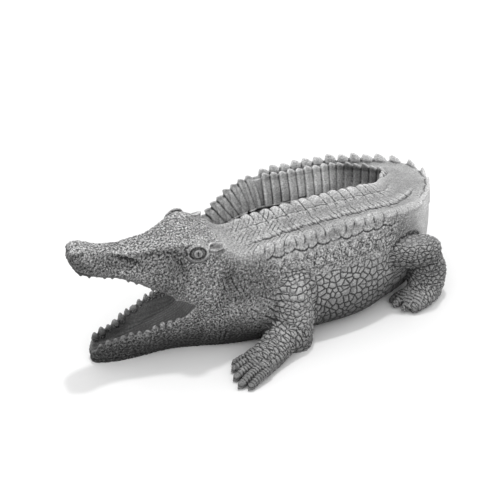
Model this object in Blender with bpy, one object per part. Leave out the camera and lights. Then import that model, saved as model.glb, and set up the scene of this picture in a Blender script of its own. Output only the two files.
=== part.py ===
"""A cast garden crocodile, mouth open, with its tail curled round beside it.

The figure is one casting, so it is one closed solid. It is drawn as lofted
forms along a spine, run together into one skin, carved, and cut flat below.
The head points to -X, the animal's right side is +Y, and the figure rests on
the plane Z = 0, with the origin under its belly.
"""
import math

import bmesh
import bpy
import numpy as np
from mathutils import Vector

# Driving sizes, in metres
FIGURE_LENGTH = 0.637

# The tables below are drawn in millimetres for a figure of this length, so each
# number is a share of the figure's length
DRAWN_LENGTH = 637.0
UNIT = FIGURE_LENGTH / DRAWN_LENGTH

# Skin: the grain of the first and second skin, and how much the first is eased
BODY_GRAIN = 3.0
FINE_GRAIN = 2.1
BODY_EASE = 4
JOIN_EASE = 24
SOLID_TRIANGLES = 9300
SINK = 8.0

# Carving along the back and tail, in drawn millimetres
RIB_PITCH = 15.6
RIB_FOOT = 100.0
RIB_DEPTH = 2.0
PLATE_HEIGHT = 13.5
PLATE_THICKNESS = 5.0
PLATE_REACH = 1.1
SCUTE_PITCH = 17.0
SCUTE_ROWS = ((-45.0, 4.2), (-17.0, 2.4), (17.0, 2.4), (45.0, 4.2))
SCUTE_WIDTH = 9.0
TAIL_START = 395.0
RIBS_EASE_IN = (20.0, 60.0)
BACK_START = 70.0
SCUTES_EASE_IN = 40.0
SCUTES_EASE_OUT = (330.0, 400.0)
BACK_HEIGHTS = (130.0, 145.0)
BACK_SLOPES = (0.3, 0.7)

# Spine stations: x, y, half-width at the floor, half-width and height where the
# body is widest, half-width and height of the back's edge, height of its middle
SPINE = np.array((
    (-128, 0, 32, 54, 74, 36, 150, 160),
    (-100, 0, 41, 65, 72, 44, 166, 172),
    (-75, 0, 46, 73, 66, 46, 159, 162),
    (-50, 0, 49, 79, 62, 47, 154, 156),
    (-20, 0, 50, 84, 58, 47, 156, 158),
    (20, 0, 51, 88, 56, 47, 158, 161),
    (60, 0, 52, 91, 55, 47, 160, 164),
    (100, 0, 53, 91, 55, 47, 161, 165),
    (140, 0, 49, 86, 56, 47, 162, 165),
    (170, 0, 40, 76, 60, 46, 162, 164),
    (197, 1, 30, 64, 66, 46, 160, 162),
    (230, 11, 28, 54, 78, 45, 156, 158),
    (259, 35, 30, 48, 84, 43, 152, 155),
    (278, 66, 30, 43, 86, 38, 147, 151),
    (281, 86, 28, 38, 86, 31, 146, 149),
    (274, 106, 24, 33, 86, 23, 144, 144),
    (258, 122, 21, 31, 85, 19, 142, 139),
    (236, 139, 19, 30, 84, 16, 140, 136),
    (205, 158, 18, 30, 82, 14, 138, 133),
    (150, 169, 18, 30, 80, 13, 137, 132),
    (95, 172, 17, 29, 78, 11, 137, 134),
    (50, 173, 16, 28, 74, 6, 137, 138),
    (15, 170, 16, 27, 64, 4, 128, 130),
    (-20, 167, 15, 25, 52, 4, 104, 106),
    (-55, 163, 14, 22, 38, 4, 72, 74),
    (-90, 158, 11, 16, 24, 3, 40, 42),
    (-116, 154, 5, 7, 10, 2, 15, 17),
), dtype=float)

# Upper head stations: x, height of the middle, half-width and height of the top
# edge, of the hollow below it and of the lip, and height of the palate
HEAD = np.array((
    (-314, 198, 5, 197, 7, 193, 5, 188, 191),
    (-310, 206, 11, 203, 16, 196, 13, 181, 188),
    (-300, 213, 14, 209, 22, 196, 20, 173, 182),
    (-285, 212, 15, 207, 25, 193, 23, 168, 177),
    (-268, 204, 16, 198, 22, 182, 23, 161, 171),
    (-250, 201, 17, 193, 21, 175, 24, 156, 166),
    (-235, 199, 19, 189, 23, 170, 27, 149, 160),
    (-215, 200, 23, 191, 28, 171, 33, 139, 153),
    (-197, 200, 27, 193, 32, 172, 37, 127, 146),
    (-180, 201, 31, 195, 37, 172, 41, 118, 140),
    (-165, 202, 36, 196, 42, 172, 46, 106, 133),
    (-150, 199, 40, 198, 47, 172, 51, 99, 124),
    (-137, 196, 43, 200, 51, 170, 54, 88, 108),
    (-125, 193, 45, 199, 54, 168, 56, 70, 80),
    (-107, 184, 46, 188, 57, 162, 58, 60, 50),
    (-88, 174, 45, 176, 56, 152, 56, 60, 50),
    (-68, 161, 42, 161, 52, 140, 52, 60, 50),
    (-48, 148, 38, 146, 46, 128, 46, 60, 50),
), dtype=float)

# Lower jaw stations: x, half-width at the floor, half-width and height of the
# rim, and height of the trough between the rims
JAW = np.array((
    (-293, 4, 6, 17, 14),
    (-289, 9, 12, 23, 17),
    (-280, 13, 17, 29, 18),
    (-268, 17, 19, 34, 19),
    (-255, 20, 21, 38, 20),
    (-240, 21, 25, 42, 22),
    (-225, 21, 31, 46, 26),
    (-210, 21, 36, 50, 30),
    (-195, 21, 38, 56, 34),
    (-180, 22, 41, 59, 38),
    (-165, 24, 45, 65, 43),
    (-147, 29, 49, 75, 52),
    (-133, 34, 53, 92, 70),
    (-115, 38, 58, 104, 100),
), dtype=float)

# Limbs: each row is x, y, z, the half-width across and the half-thickness
NEAR_ARM = ((26, -18, 96, 36, 30), (20, -46, 92, 35, 31), (13, -70, 74, 32, 30),
            (9, -86, 46, 31, 29), (8, -90, 10, 30, 28), (8, -90, -8, 29, 27))
NEAR_PAW = ((14, -86, 34, 29, 36), (-16, -98, 22, 29, 27), (-46, -112, 12, 29, 21),
            (-74, -123, 7, 30, 15), (-86, -128, 3, 27, 11))
FAR_ARM = ((26, 18, 96, 36, 30), (20, 46, 90, 33, 29), (13, 70, 70, 30, 27),
           (8, 90, 42, 27, 24), (6, 94, 8, 26, 23), (6, 94, -8, 25, 22))
FAR_PAW = ((14, 94, 32, 25, 34), (-16, 98, 21, 25, 26), (-46, 101, 12, 26, 21),
           (-74, 103, 7, 27, 15), (-86, 104, 3, 24, 11))
NEAR_THIGH = ((186, -28, 82, 26, 26), (210, -50, 88, 27, 27), (234, -60, 91, 26, 27),
              (256, -61, 89, 24, 25), (270, -56, 85, 18, 18))
NEAR_SHANK = ((264, -38, 70, 22, 18), (265, -54, 52, 30, 24), (262, -61, 33, 32, 27),
              (254, -65, 12, 30, 25), (252, -66, -6, 28, 23))
NEAR_SOLE = ((272, -58, 12, 24, 22), (254, -68, 14, 27, 24), (236, -76, 12, 28, 22),
             (216, -82, 8, 26, 17), (206, -84, 4, 22, 13))
FAR_THIGH = ((205, 30, 82, 28, 24), (184, 52, 80, 27, 20), (162, 70, 70, 23, 17),
             (144, 84, 54, 18, 15))
FAR_SHANK = ((142, 82, 56, 18, 15), (150, 90, 34, 18, 15), (158, 92, 14, 18, 15),
             (158, 92, -6, 17, 14))
FAR_SOLE = ((166, 92, 9, 17, 17), (140, 98, 8, 19, 17), (118, 104, 5, 20, 14),
            (106, 106, 2, 18, 12))

# Where the limbs and the head run into the trunk, and how far the skin is eased there
LIMB_JOINS = ((16, -74, 102, 60), (16, 74, 102, 60), (200, -62, 80, 34), (200, 60, 80, 34),
              (-72, 0, 165, 60))

# Toes: root and tip on the floor plan, with the radius at the root
NEAR_TOES = ((-66, -104, -106, -102, 7.0), (-72, -112, -113, -118, 7.5),
             (-76, -124, -118, -138, 7.5), (-72, -136, -119, -157, 7.5),
             (-64, -146, -106, -166, 7.0))
FAR_TOES = ((-70, 84, -104, 74, 6.5), (-76, 93, -116, 88, 7.0),
            (-78, 103, -121, 102, 7.0), (-76, 113, -116, 117, 7.0),
            (-70, 121, -104, 129, 6.5))
NEAR_HIND_TOES = ((222, -60, 190, -64, 7.5), (218, -70, 188, -78, 8.0),
                  (220, -82, 197, -95, 8.0), (230, -90, 214, -104, 8.0))
FAR_HIND_TOES = ((116, 94, 84, 88, 5.5), (112, 102, 78, 99, 6.0),
                 (114, 110, 80, 111, 6.0), (120, 115, 90, 122, 5.5))

# Eye, lids, brow, ear, and nostril mounds
EYE = (-132, 47, 185)
EYE_RADIUS = 11.0
LID_RADIUS = 12.0
LID_THICKNESS = 2.2
BROW = (-130, 36, 192)
BROW_RADII = (19, 13, 9)
EAR = (-101, 48, 184)
EAR_RADII = (13, 6, 7)
NOSE = (-299, 9, 207)
NOSE_RADII = (14, 9, 7)

# Teeth: how many on each lower and upper rim, their length and root radius
LOWER_TEETH = 11
UPPER_TEETH = 11
TOOTH_LENGTH = 7.0
TOOTH_RADIUS = 4.4
UPPER_TOOTH_LENGTH = 4.0

STONE_COLOUR = (0.21, 0.21, 0.21, 1.0)
STONE_ROUGHNESS = 0.8


def clear_objects():
    """Remove what the file holds."""
    for each in list(bpy.data.objects):
        bpy.data.objects.remove(each, do_unlink=True)


def between(table, places):
    """Rows of a table read smoothly at places along its first column."""
    knots = table[:, 0]
    slopes = np.gradient(table, knots, axis=0)
    index = np.clip(np.searchsorted(knots, places) - 1, 0, len(knots) - 2)
    gap = (knots[index + 1] - knots[index])[:, None]
    t = (places[:, None] - knots[index][:, None]) / gap
    start = (1 + 2 * t) * (1 - t) ** 2 * table[index] + t * (1 - t) ** 2 * gap * slopes[index]
    end = t * t * (3 - 2 * t) * table[index + 1] - t * t * (1 - t) * gap * slopes[index + 1]
    return start + end


def along(rows, step):
    """Rows read smoothly at even steps of the path that their first columns draw."""
    rows = np.array(rows, dtype=float)
    axes = 3 if rows.shape[1] == 5 else 2
    reach = np.linalg.norm(np.diff(rows[:, :axes], axis=0), axis=1)
    station = np.concatenate(([0.0], np.cumsum(reach)))
    count = max(3, int(round(station[-1] / step)) + 1)
    table = np.column_stack((station, rows))
    return between(table, np.linspace(0.0, station[-1], count))


def rounded(corners, per_side):
    """A closed smooth curve through a ring's corners."""
    corners = np.array(corners, dtype=float)
    before = np.roll(corners, 1, axis=0)
    after = np.roll(corners, -1, axis=0)
    beyond = np.roll(corners, -2, axis=0)
    t = np.linspace(0.0, 1.0, per_side, endpoint=False)[None, :, None]
    a = corners[:, None]
    b = after[:, None]
    slope_a = 0.5 * (after - before)[:, None]
    slope_b = 0.5 * (beyond - corners)[:, None]
    curve = (1 + 2 * t) * (1 - t) ** 2 * a + t * (1 - t) ** 2 * slope_a
    curve = curve + t * t * (3 - 2 * t) * b - t * t * (1 - t) * slope_b
    return curve.reshape(-1, corners.shape[1])


def skin_rings(rings):
    """Points and faces of a closed tube through rings of equal length."""
    rings = np.array(rings)
    count, size = rings.shape[:2]
    faces = []
    for ring in range(count - 1):
        for spot in range(size):
            following = (spot + 1) % size
            low = ring * size
            high = low + size
            faces.append((low + spot, low + following, high + following, high + spot))
    faces.append(tuple(reversed(range(size))))
    faces.append(tuple(range((count - 1) * size, count * size)))
    return rings.reshape(-1, 3), faces


def both_sides(half):
    """A ring from its right half, listed from the bottom to the top."""
    half = np.array(half, dtype=float)
    mirrored = half[::-1] * (-1.0, 1.0)
    return np.concatenate((half, mirrored))


def body_section(foot, wide, wide_z, ridge, ridge_z, crown):
    """One ring of the trunk, neck or tail, as offsets across and heights."""
    waist = (foot + 0.78 * (wide - foot), 0.30 * wide_z)
    shoulder = (ridge + 0.64 * (wide - ridge), 0.5 * (wide_z + ridge_z))
    half = [(0.5 * foot, -SINK), (foot, -SINK), waist, (wide, wide_z), shoulder,
            (ridge, ridge_z), (0.45 * ridge, 0.4 * ridge_z + 0.6 * crown)]
    return rounded(both_sides(half), 5)


def body_loft(step):
    """The neck, trunk and tail."""
    path = along(SPINE, step)
    centre = path[:, 1:3]
    heading = np.gradient(centre, axis=0)
    heading /= np.linalg.norm(heading, axis=1)[:, None]
    rings = []
    for spot, way, row in zip(centre, heading, path):
        ring = body_section(*row[3:])
        across = ring[:, :1] * np.array(((-way[1], way[0]),))
        rings.append(np.column_stack((spot + across, ring[:, 1])))
    return skin_rings(rings)


def head_section(crown, edge, edge_z, hollow, hollow_z, lip, lip_z, palate):
    """One ring of the upper head."""
    bulge = (lip + 2.5, lip_z + 0.42 * (hollow_z - lip_z))
    half = [(0.35 * lip, palate + 2.0), (0.72 * lip, palate), (lip - 3.0, lip_z + 1.0),
            (lip, lip_z), bulge, (hollow, hollow_z), (edge, edge_z),
            (0.5 * edge, 0.45 * edge_z + 0.55 * crown)]
    return rounded(both_sides(half), 5)


def jaw_section(foot, rim, rim_z, trough):
    """One ring of the lower jaw."""
    half = [(0.5 * foot, -SINK), (foot, -SINK), (0.4 * foot + 0.6 * rim + 1.5, 0.42 * rim_z),
            (rim, rim_z), (rim - 4.0, rim_z), (0.62 * (rim - 4.0), trough + 2.0),
            (0.25 * rim, trough)]
    return rounded(both_sides(half), 5)


def level_loft(table, section, step):
    """A form whose rings stand across the X axis."""
    length = table[-1, 0] - table[0, 0]
    places = np.linspace(table[0, 0], table[-1, 0], int(length / step) + 1)
    rings = []
    for row in between(table, places):
        ring = section(*row[1:])
        rings.append(np.column_stack((np.full(len(ring), row[0]), ring)))
    points, faces = skin_rings(rings)
    return points, faces


def limb_loft(rows, across, step):
    """A limb along a path, wide along the given direction."""
    path = along(rows, step)
    centre = path[:, 1:4]
    heading = np.gradient(centre, axis=0)
    turn = np.linspace(0.0, 2.0 * math.pi, 20, endpoint=False)
    rings = []
    for spot, way, row in zip(centre, heading, path):
        way = Vector(way).normalized()
        side = Vector(across)
        side = (side - side.dot(way) * way).normalized()
        lift = way.cross(side)
        ring = [spot + row[4] * math.cos(a) * np.array(side)
                + row[5] * math.sin(a) * np.array(lift) for a in turn]
        rings.append(ring)
    return skin_rings(rings)


def taper(start, end, root, tip, sides=8):
    """A tapering round form from start to end, with rounded ends."""
    start = Vector(start)
    end = Vector(end)
    way = (end - start).normalized()
    side = way.orthogonal().normalized()
    lift = way.cross(side)
    shares = ((-0.8, 0.5), (-0.4, 0.9), (0.0, 1.0), (1.0, 1.0), (1.4, 0.9), (1.8, 0.5))
    rings = []
    for share, girth in shares:
        along_way = min(max(share, 0.0), 1.0)
        radius = root + (tip - root) * along_way
        spot = start.lerp(end, along_way) + way * radius * (share - along_way)
        radius *= girth
        ring = []
        for index in range(sides):
            angle = 2.0 * math.pi * index / sides
            ring.append(spot + side * radius * math.cos(angle) + lift * radius * math.sin(angle))
        rings.append(np.array(ring))
    return skin_rings(rings)


def egg(centre, radii, rings=10, sides=16):
    """An egg-shaped lump."""
    shell = []
    for index in range(rings):
        rise = math.pi * (index + 0.5) / rings
        ring = []
        for step in range(sides):
            turn = 2.0 * math.pi * step / sides
            ring.append((centre[0] + radii[0] * math.sin(rise) * math.cos(turn),
                         centre[1] + radii[1] * math.sin(rise) * math.sin(turn),
                         centre[2] - radii[2] * math.cos(rise)))
        shell.append(ring)
    return skin_rings(shell)


def on_both_sides(make):
    """The same form at the animal's left and right."""
    return [make(side) for side in (-1, 1)]


def toe(root_x, root_y, tip_x, tip_y, radius):
    """One toe, arched at its knuckle, with its claw."""
    root = Vector((root_x, root_y, radius + 4.0))
    tip = Vector((tip_x, tip_y, 0.6 * radius))
    way = tip - root
    knuckle = root + 0.45 * way + Vector((0, 0, 2.5))
    claw = root + 0.80 * way
    return [taper(root, knuckle, radius + 1.0, radius), taper(knuckle, claw, radius, 0.85 * radius),
            taper(claw, tip - 0.06 * way - Vector((0, 0, 1.5)), 0.62 * radius, 0.22 * radius)]


def rim_points(table, width, height, count, inset):
    """Even places along a jaw's rim, on the animal's left side, with the way out."""
    places = np.linspace(table[2, 0], table[-4, 0], count)
    rows = between(table, places)
    return [Vector((row[0], -(row[width] - inset), row[height])) for row in rows]


def teeth():
    """The teeth along both rims of both jaws."""
    forms = []
    for number, spot in enumerate(rim_points(JAW, 2, 3, LOWER_TEETH, 2.6)):
        long = TOOTH_LENGTH * (1.0 + 0.3 * math.sin(1.7 * number))
        for side in (-1, 1):
            foot = Vector((spot.x, -side * spot.y, spot.z - 3.0))
            tip = foot + Vector((0.5, side * 1.2, long + 2.0))
            forms.append(taper(foot, tip, TOOTH_RADIUS, 1.3, 7))
    places = np.linspace(HEAD[2, 0], HEAD[10, 0], UPPER_TEETH)
    for row in between(HEAD, places):
        for side in (-1, 1):
            foot = Vector((row[0], side * (row[6] - 4.0), row[7] + 3.0))
            tip = foot + Vector((0.0, side * 0.5, -UPPER_TOOTH_LENGTH - 3.0))
            forms.append(taper(foot, tip, 0.8 * TOOTH_RADIUS, 0.9, 7))
    return forms


def plate(spot, way, out, height, length):
    """One upright plate of the tail's crest, leaning along the tail."""
    up = (Vector((0, 0, 1)) + 0.18 * out).normalized()
    half = 0.5 * length
    lean = 0.62 * length
    foot = spot - up * 6.0
    outline = ((-half, 0.0), (half, 0.0), (half * 0.95, 0.35), (lean, 1.0), (-half * 0.35, 0.62),
               (-half * 0.9, 0.3))
    rings = []
    for offset in (-0.5, 0.5):
        ring = []
        for reach, rise in outline:
            thick = PLATE_THICKNESS * (1.0 - 0.55 * rise)
            point = foot + way * reach + up * (6.0 + height * rise if rise else 0.0)
            ring.append(np.array(point + out * offset * thick))
        rings.append(ring)
    return skin_rings(rings)


def crest():
    """Plates along both edges of the tail, which meet in one row towards its tip."""
    fine = along(SPINE, 1.0)
    centre = fine[:, 1:3]
    heading = np.gradient(centre, axis=0)
    heading /= np.linalg.norm(heading, axis=1)[:, None]
    forms = []
    start = TAIL_START
    for number in range(int((fine[-1, 0] - start - 8.0) / RIB_PITCH)):
        index = int(np.searchsorted(fine[:, 0], start + RIB_PITCH * (number + 0.5)))
        row = fine[index]
        way = Vector((heading[index][0], heading[index][1], 0.0))
        slope = (fine[min(index + 4, len(fine) - 1), 7] - fine[index - 4, 7]) / 8.0
        run = Vector((way.x, way.y, slope)).normalized()
        across = Vector((-way.y, way.x, 0.0))
        grown = min(1.0, 0.32 + 0.11 * number)
        fading = min(1.0, (fine[-1, 0] - row[0]) / 70.0 + 0.25)
        height = PLATE_HEIGHT * grown * fading
        sides = (0,) if row[6] < 7.0 else (-1, 1)
        for side in sides:
            spot = Vector((row[1], row[2], row[7])) + across * side * (row[6] - 1.0)
            forms.append(plate(spot, run, across * (side or 1), height,
                               RIB_PITCH * PLATE_REACH * (0.6 + 0.4 * grown)))
    return forms


def body_forms(step):
    """The large forms that run into each other."""
    forms = [body_loft(step), level_loft(HEAD, head_section, step),
             level_loft(JAW, jaw_section, step)]
    for rows in (NEAR_ARM, FAR_ARM, NEAR_SHANK, FAR_SHANK):
        forms.append(limb_loft(rows, (1, 0, 0), step))
    for rows in (NEAR_PAW, FAR_PAW, NEAR_SOLE, FAR_SOLE):
        forms.append(limb_loft(rows, (0, 1, 0), step))
    for rows in (NEAR_THIGH, FAR_THIGH):
        forms.append(limb_loft(rows, (0, 0, 1), step))
    for centre, radii in ((BROW, BROW_RADII), (EAR, EAR_RADII), (NOSE, NOSE_RADII)):
        forms += on_both_sides(lambda side: egg((centre[0], side * centre[1], centre[2]), radii))
    return forms


def eye(side):
    """The eyeball and its raised lids."""
    centre = Vector((EYE[0], side * EYE[1], EYE[2]))
    forms = [egg(centre, (EYE_RADIUS, EYE_RADIUS * 0.8, EYE_RADIUS * 0.85), 12, 20)]
    out = Vector((-0.25, side, 0.15)).normalized()
    level = Vector((1, 0, 0))
    level = (level - level.dot(out) * out).normalized()
    rise = out.cross(level)
    count = 16
    spots = []
    for index in range(count):
        turn = 2.0 * math.pi * index / count
        spots.append(centre + out * 6.0 + level * LID_RADIUS * math.cos(turn)
                     + rise * 0.72 * LID_RADIUS * math.sin(turn))
    for index in range(count):
        forms.append(taper(spots[index], spots[(index + 1) % count], LID_THICKNESS,
                           LID_THICKNESS, 6))
    return forms


def crisp_forms():
    """The small forms that stand on the large ones."""
    forms = []
    for group in (NEAR_TOES, FAR_TOES, NEAR_HIND_TOES, FAR_HIND_TOES):
        for each in group:
            forms += toe(*each)
    for side in (-1, 1):
        forms += eye(side)
    return forms + teeth() + crest()


def joined(forms, name):
    """One mesh object of several closed forms, in metres."""
    points = []
    faces = []
    for form_points, form_faces in forms:
        start = sum(len(each) for each in points)
        points.append(np.asarray(form_points, dtype=float))
        faces += [tuple(start + index for index in face) for face in form_faces]
    mesh = bpy.data.meshes.new(name)
    mesh.from_pydata((np.concatenate(points) * UNIT).tolist(), [], faces)
    shape = bmesh.new()
    shape.from_mesh(mesh)
    bmesh.ops.recalc_face_normals(shape, faces=shape.faces)
    shape.to_mesh(mesh)
    shape.free()
    each = bpy.data.objects.new(name, mesh)
    bpy.context.scene.collection.objects.link(each)
    return each


def with_modifier(each, kind, **settings):
    """Apply one modifier to an object's mesh."""
    modifier = each.modifiers.new(kind.title(), kind)
    for key, value in settings.items():
        setattr(modifier, key, value)
    depsgraph = bpy.context.evaluated_depsgraph_get()
    result = bpy.data.meshes.new_from_object(each.evaluated_get(depsgraph))
    each.modifiers.clear()
    each.data = result


def add_forms(each, forms):
    """Join more closed forms into an object."""
    extra = joined(forms, "extra")
    shape = bmesh.new()
    shape.from_mesh(each.data)
    shape.from_mesh(extra.data)
    shape.to_mesh(each.data)
    shape.free()
    bpy.data.objects.remove(extra, do_unlink=True)


def ease_joins(each):
    """Ease the skin where the limbs run into the trunk."""
    group = each.vertex_groups.new(name="joins")
    points = np.array([vertex.co[:] for vertex in each.data.vertices]) / UNIT
    weight = np.zeros(len(points))
    for x, y, z, reach in LIMB_JOINS:
        gap = np.linalg.norm(points - (x, y, z), axis=1)
        weight = np.maximum(weight, 1.0 - ramp(gap, 0.5 * reach, reach))
    for index in np.nonzero(weight > 0.01)[0]:
        group.add([int(index)], float(weight[index]), "REPLACE")
    with_modifier(each, "SMOOTH", factor=0.5, iterations=JOIN_EASE, vertex_group="joins")
    each.vertex_groups.clear()


def spine_places(points):
    """How far along the spine each point lies, its offset across, and the spine's row."""
    fine = along(SPINE, 1.0)
    centre = fine[:, 1:3]
    heading = np.gradient(centre, axis=0)
    heading /= np.linalg.norm(heading, axis=1)[:, None]
    nearest = np.empty(len(points), dtype=int)
    for start in range(0, len(points), 4000):
        chunk = points[start:start + 4000, None, :2] - centre[None]
        nearest[start:start + 4000] = np.argmin((chunk ** 2).sum(axis=2), axis=1)
    rows = fine[nearest]
    gap = points[:, :2] - centre[nearest]
    way = heading[nearest]
    run = rows[:, 0] + (gap * way).sum(axis=1)
    across = gap[:, 1] * way[:, 0] - gap[:, 0] * way[:, 1]
    return run, across, rows


def ramp(values, low, high):
    """Nought below low, one above high, smooth between."""
    share = np.clip((values - low) / (high - low), 0.0, 1.0)
    return share * share * (3.0 - 2.0 * share)


def carving(points, normals):
    """How far the carved ribs and scutes stand out of the skin at each point."""
    run, across, rows = spine_places(points)
    on_body = ramp(rows[:, 4] + 9.0 - np.abs(across), 0.0, 6.0)
    phase = (run - TAIL_START) / RIB_PITCH
    saw = phase - np.floor(phase)
    on_tail = ramp(run, TAIL_START + RIBS_EASE_IN[0], TAIL_START + RIBS_EASE_IN[1]) * on_body
    low_edge = RIB_FOOT * np.minimum(1.0, rows[:, 7] / 137.0)
    ribs = (saw - 0.75) * RIB_DEPTH * on_tail * ramp(points[:, 2], low_edge - 4.0, low_edge + 4.0)
    beat = (run - BACK_START) / SCUTE_PITCH
    rise = beat - np.floor(beat)
    on_back = ramp(run, BACK_START, BACK_START + SCUTES_EASE_IN)
    on_back = on_back * (1.0 - ramp(run, *SCUTES_EASE_OUT))
    on_back = on_back * ramp(normals[:, 2], *BACK_SLOPES) * ramp(points[:, 2], *BACK_HEIGHTS)
    scutes = np.zeros(len(points))
    for row, height in SCUTE_ROWS:
        keel = np.clip(1.0 - np.abs(across - row) / SCUTE_WIDTH, 0.0, 1.0)
        scutes = np.maximum(scutes, keel * height * (0.25 + 0.75 * rise))
    return ribs + scutes * on_back


def carve(each):
    """Move the skin out and in by the carving."""
    mesh = each.data
    count = len(mesh.vertices)
    points = np.empty(count * 3)
    mesh.vertices.foreach_get("co", points)
    points = points.reshape(-1, 3)
    normals = np.empty(count * 3)
    mesh.vertices.foreach_get("normal", normals)
    normals = normals.reshape(-1, 3)
    depth = carving(points / UNIT, normals) * UNIT
    mesh.vertices.foreach_set("co", (points + normals * depth[:, None]).ravel())
    mesh.update()


def cut_flat(each):
    """Cut the figure off flat at the plane that it rests on."""
    shape = bmesh.new()
    shape.from_mesh(each.data)
    everything = shape.verts[:] + shape.edges[:] + shape.faces[:]
    bmesh.ops.bisect_plane(shape, geom=everything, dist=1e-7, plane_co=(0, 0, 0),
                           plane_no=(0, 0, -1), clear_outer=True)
    open_edges = [edge for edge in shape.edges if edge.is_boundary]
    bmesh.ops.triangle_fill(shape, use_beauty=True, use_dissolve=False, edges=open_edges,
                            normal=(0, 0, -1))
    bmesh.ops.triangulate(shape, faces=shape.faces)
    shape.to_mesh(each.data)
    shape.free()


def thin_out(each, triangles):
    """Thin the skin to about the given number of triangles."""
    now = sum(len(face.vertices) - 2 for face in each.data.polygons)
    with_modifier(each, "DECIMATE", decimate_type="COLLAPSE", ratio=triangles / now)


def stone():
    """The grey of the casting."""
    material = bpy.data.materials.new("cast_stone")
    material.use_nodes = True
    shader = material.node_tree.nodes["Principled BSDF"]
    shader.inputs["Base Color"].default_value = STONE_COLOUR
    shader.inputs["Roughness"].default_value = STONE_ROUGHNESS
    material.diffuse_color = STONE_COLOUR
    return material


def build_crocodile():
    """The whole casting."""
    crocodile = joined(body_forms(4.0), "crocodile")
    with_modifier(crocodile, "REMESH", mode="VOXEL", voxel_size=BODY_GRAIN * UNIT)
    with_modifier(crocodile, "SMOOTH", factor=0.5, iterations=BODY_EASE)
    ease_joins(crocodile)
    add_forms(crocodile, crisp_forms())
    with_modifier(crocodile, "REMESH", mode="VOXEL", voxel_size=FINE_GRAIN * UNIT)
    carve(crocodile)
    thin_out(crocodile, SOLID_TRIANGLES)
    cut_flat(crocodile)
    crocodile.data.materials.clear()
    crocodile.data.materials.append(stone())
    return crocodile


clear_objects()
build_crocodile()
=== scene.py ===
"""A cast garden crocodile with open jaws and its tail curled round beside it.

Each large form is lofted from the same stations as the solid model. The forms
are run together into one skin, the ribs, teeth, toes and eyes are set on it,
and Geometry Nodes press the scales into it. Sizes in the tables are in
millimetres as drawn, and UNIT turns them into the size of the solid model.
"""

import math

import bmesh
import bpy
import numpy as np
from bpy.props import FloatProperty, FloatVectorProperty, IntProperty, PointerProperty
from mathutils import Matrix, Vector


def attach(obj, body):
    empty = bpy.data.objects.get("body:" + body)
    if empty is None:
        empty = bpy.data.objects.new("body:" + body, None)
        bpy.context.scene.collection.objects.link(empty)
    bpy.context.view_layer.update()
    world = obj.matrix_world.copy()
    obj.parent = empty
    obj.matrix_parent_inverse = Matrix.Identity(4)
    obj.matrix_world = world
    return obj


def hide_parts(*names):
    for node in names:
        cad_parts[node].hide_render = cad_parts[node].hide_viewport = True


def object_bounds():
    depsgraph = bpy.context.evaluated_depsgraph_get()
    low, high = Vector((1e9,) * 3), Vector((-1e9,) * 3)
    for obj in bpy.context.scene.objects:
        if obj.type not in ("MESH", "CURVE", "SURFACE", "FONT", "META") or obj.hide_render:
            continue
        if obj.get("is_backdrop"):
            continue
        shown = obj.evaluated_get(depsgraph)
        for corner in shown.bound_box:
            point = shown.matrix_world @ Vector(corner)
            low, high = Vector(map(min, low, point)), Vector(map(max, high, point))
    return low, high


bl_info = {
    "name": "Cast Crocodile",
    "version": (1, 0, 0),
    "blender": (4, 5, 0),
    "location": "3D View > Sidebar > Crocodile",
    "description": "Models a cast garden crocodile with carved scales and a weathered stone finish",
    "category": "Object",
}

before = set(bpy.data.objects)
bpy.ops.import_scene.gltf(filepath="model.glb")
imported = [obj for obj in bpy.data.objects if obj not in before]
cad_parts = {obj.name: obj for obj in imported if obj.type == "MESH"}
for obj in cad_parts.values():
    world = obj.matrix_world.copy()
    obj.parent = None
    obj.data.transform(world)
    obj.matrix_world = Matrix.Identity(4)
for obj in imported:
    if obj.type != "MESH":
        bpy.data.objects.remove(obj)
CAD_LOW, CAD_HIGH = (Vector(corner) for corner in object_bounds())

# The figure is drawn in millimetres, this long from its snout to the tail's bend
DRAWN_REACH = 634.0
UNIT = (CAD_HIGH.x - CAD_LOW.x) / DRAWN_REACH

# Skin of the large forms, how much it, its joins and the whole casting are eased, and
# how far below the floor the forms are sunk before they are cut flat
BODY_GRAIN = 2.4
BODY_EASE = 4
JOIN_EASE = 34
CAST_EASE = 0.35
SINK = 6.0

# Rounds that average the skin to find its near and its wider recesses, at a 1 mm grain
NEAR_EASE = 12.0
WIDE_EASE = 140.0

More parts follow.
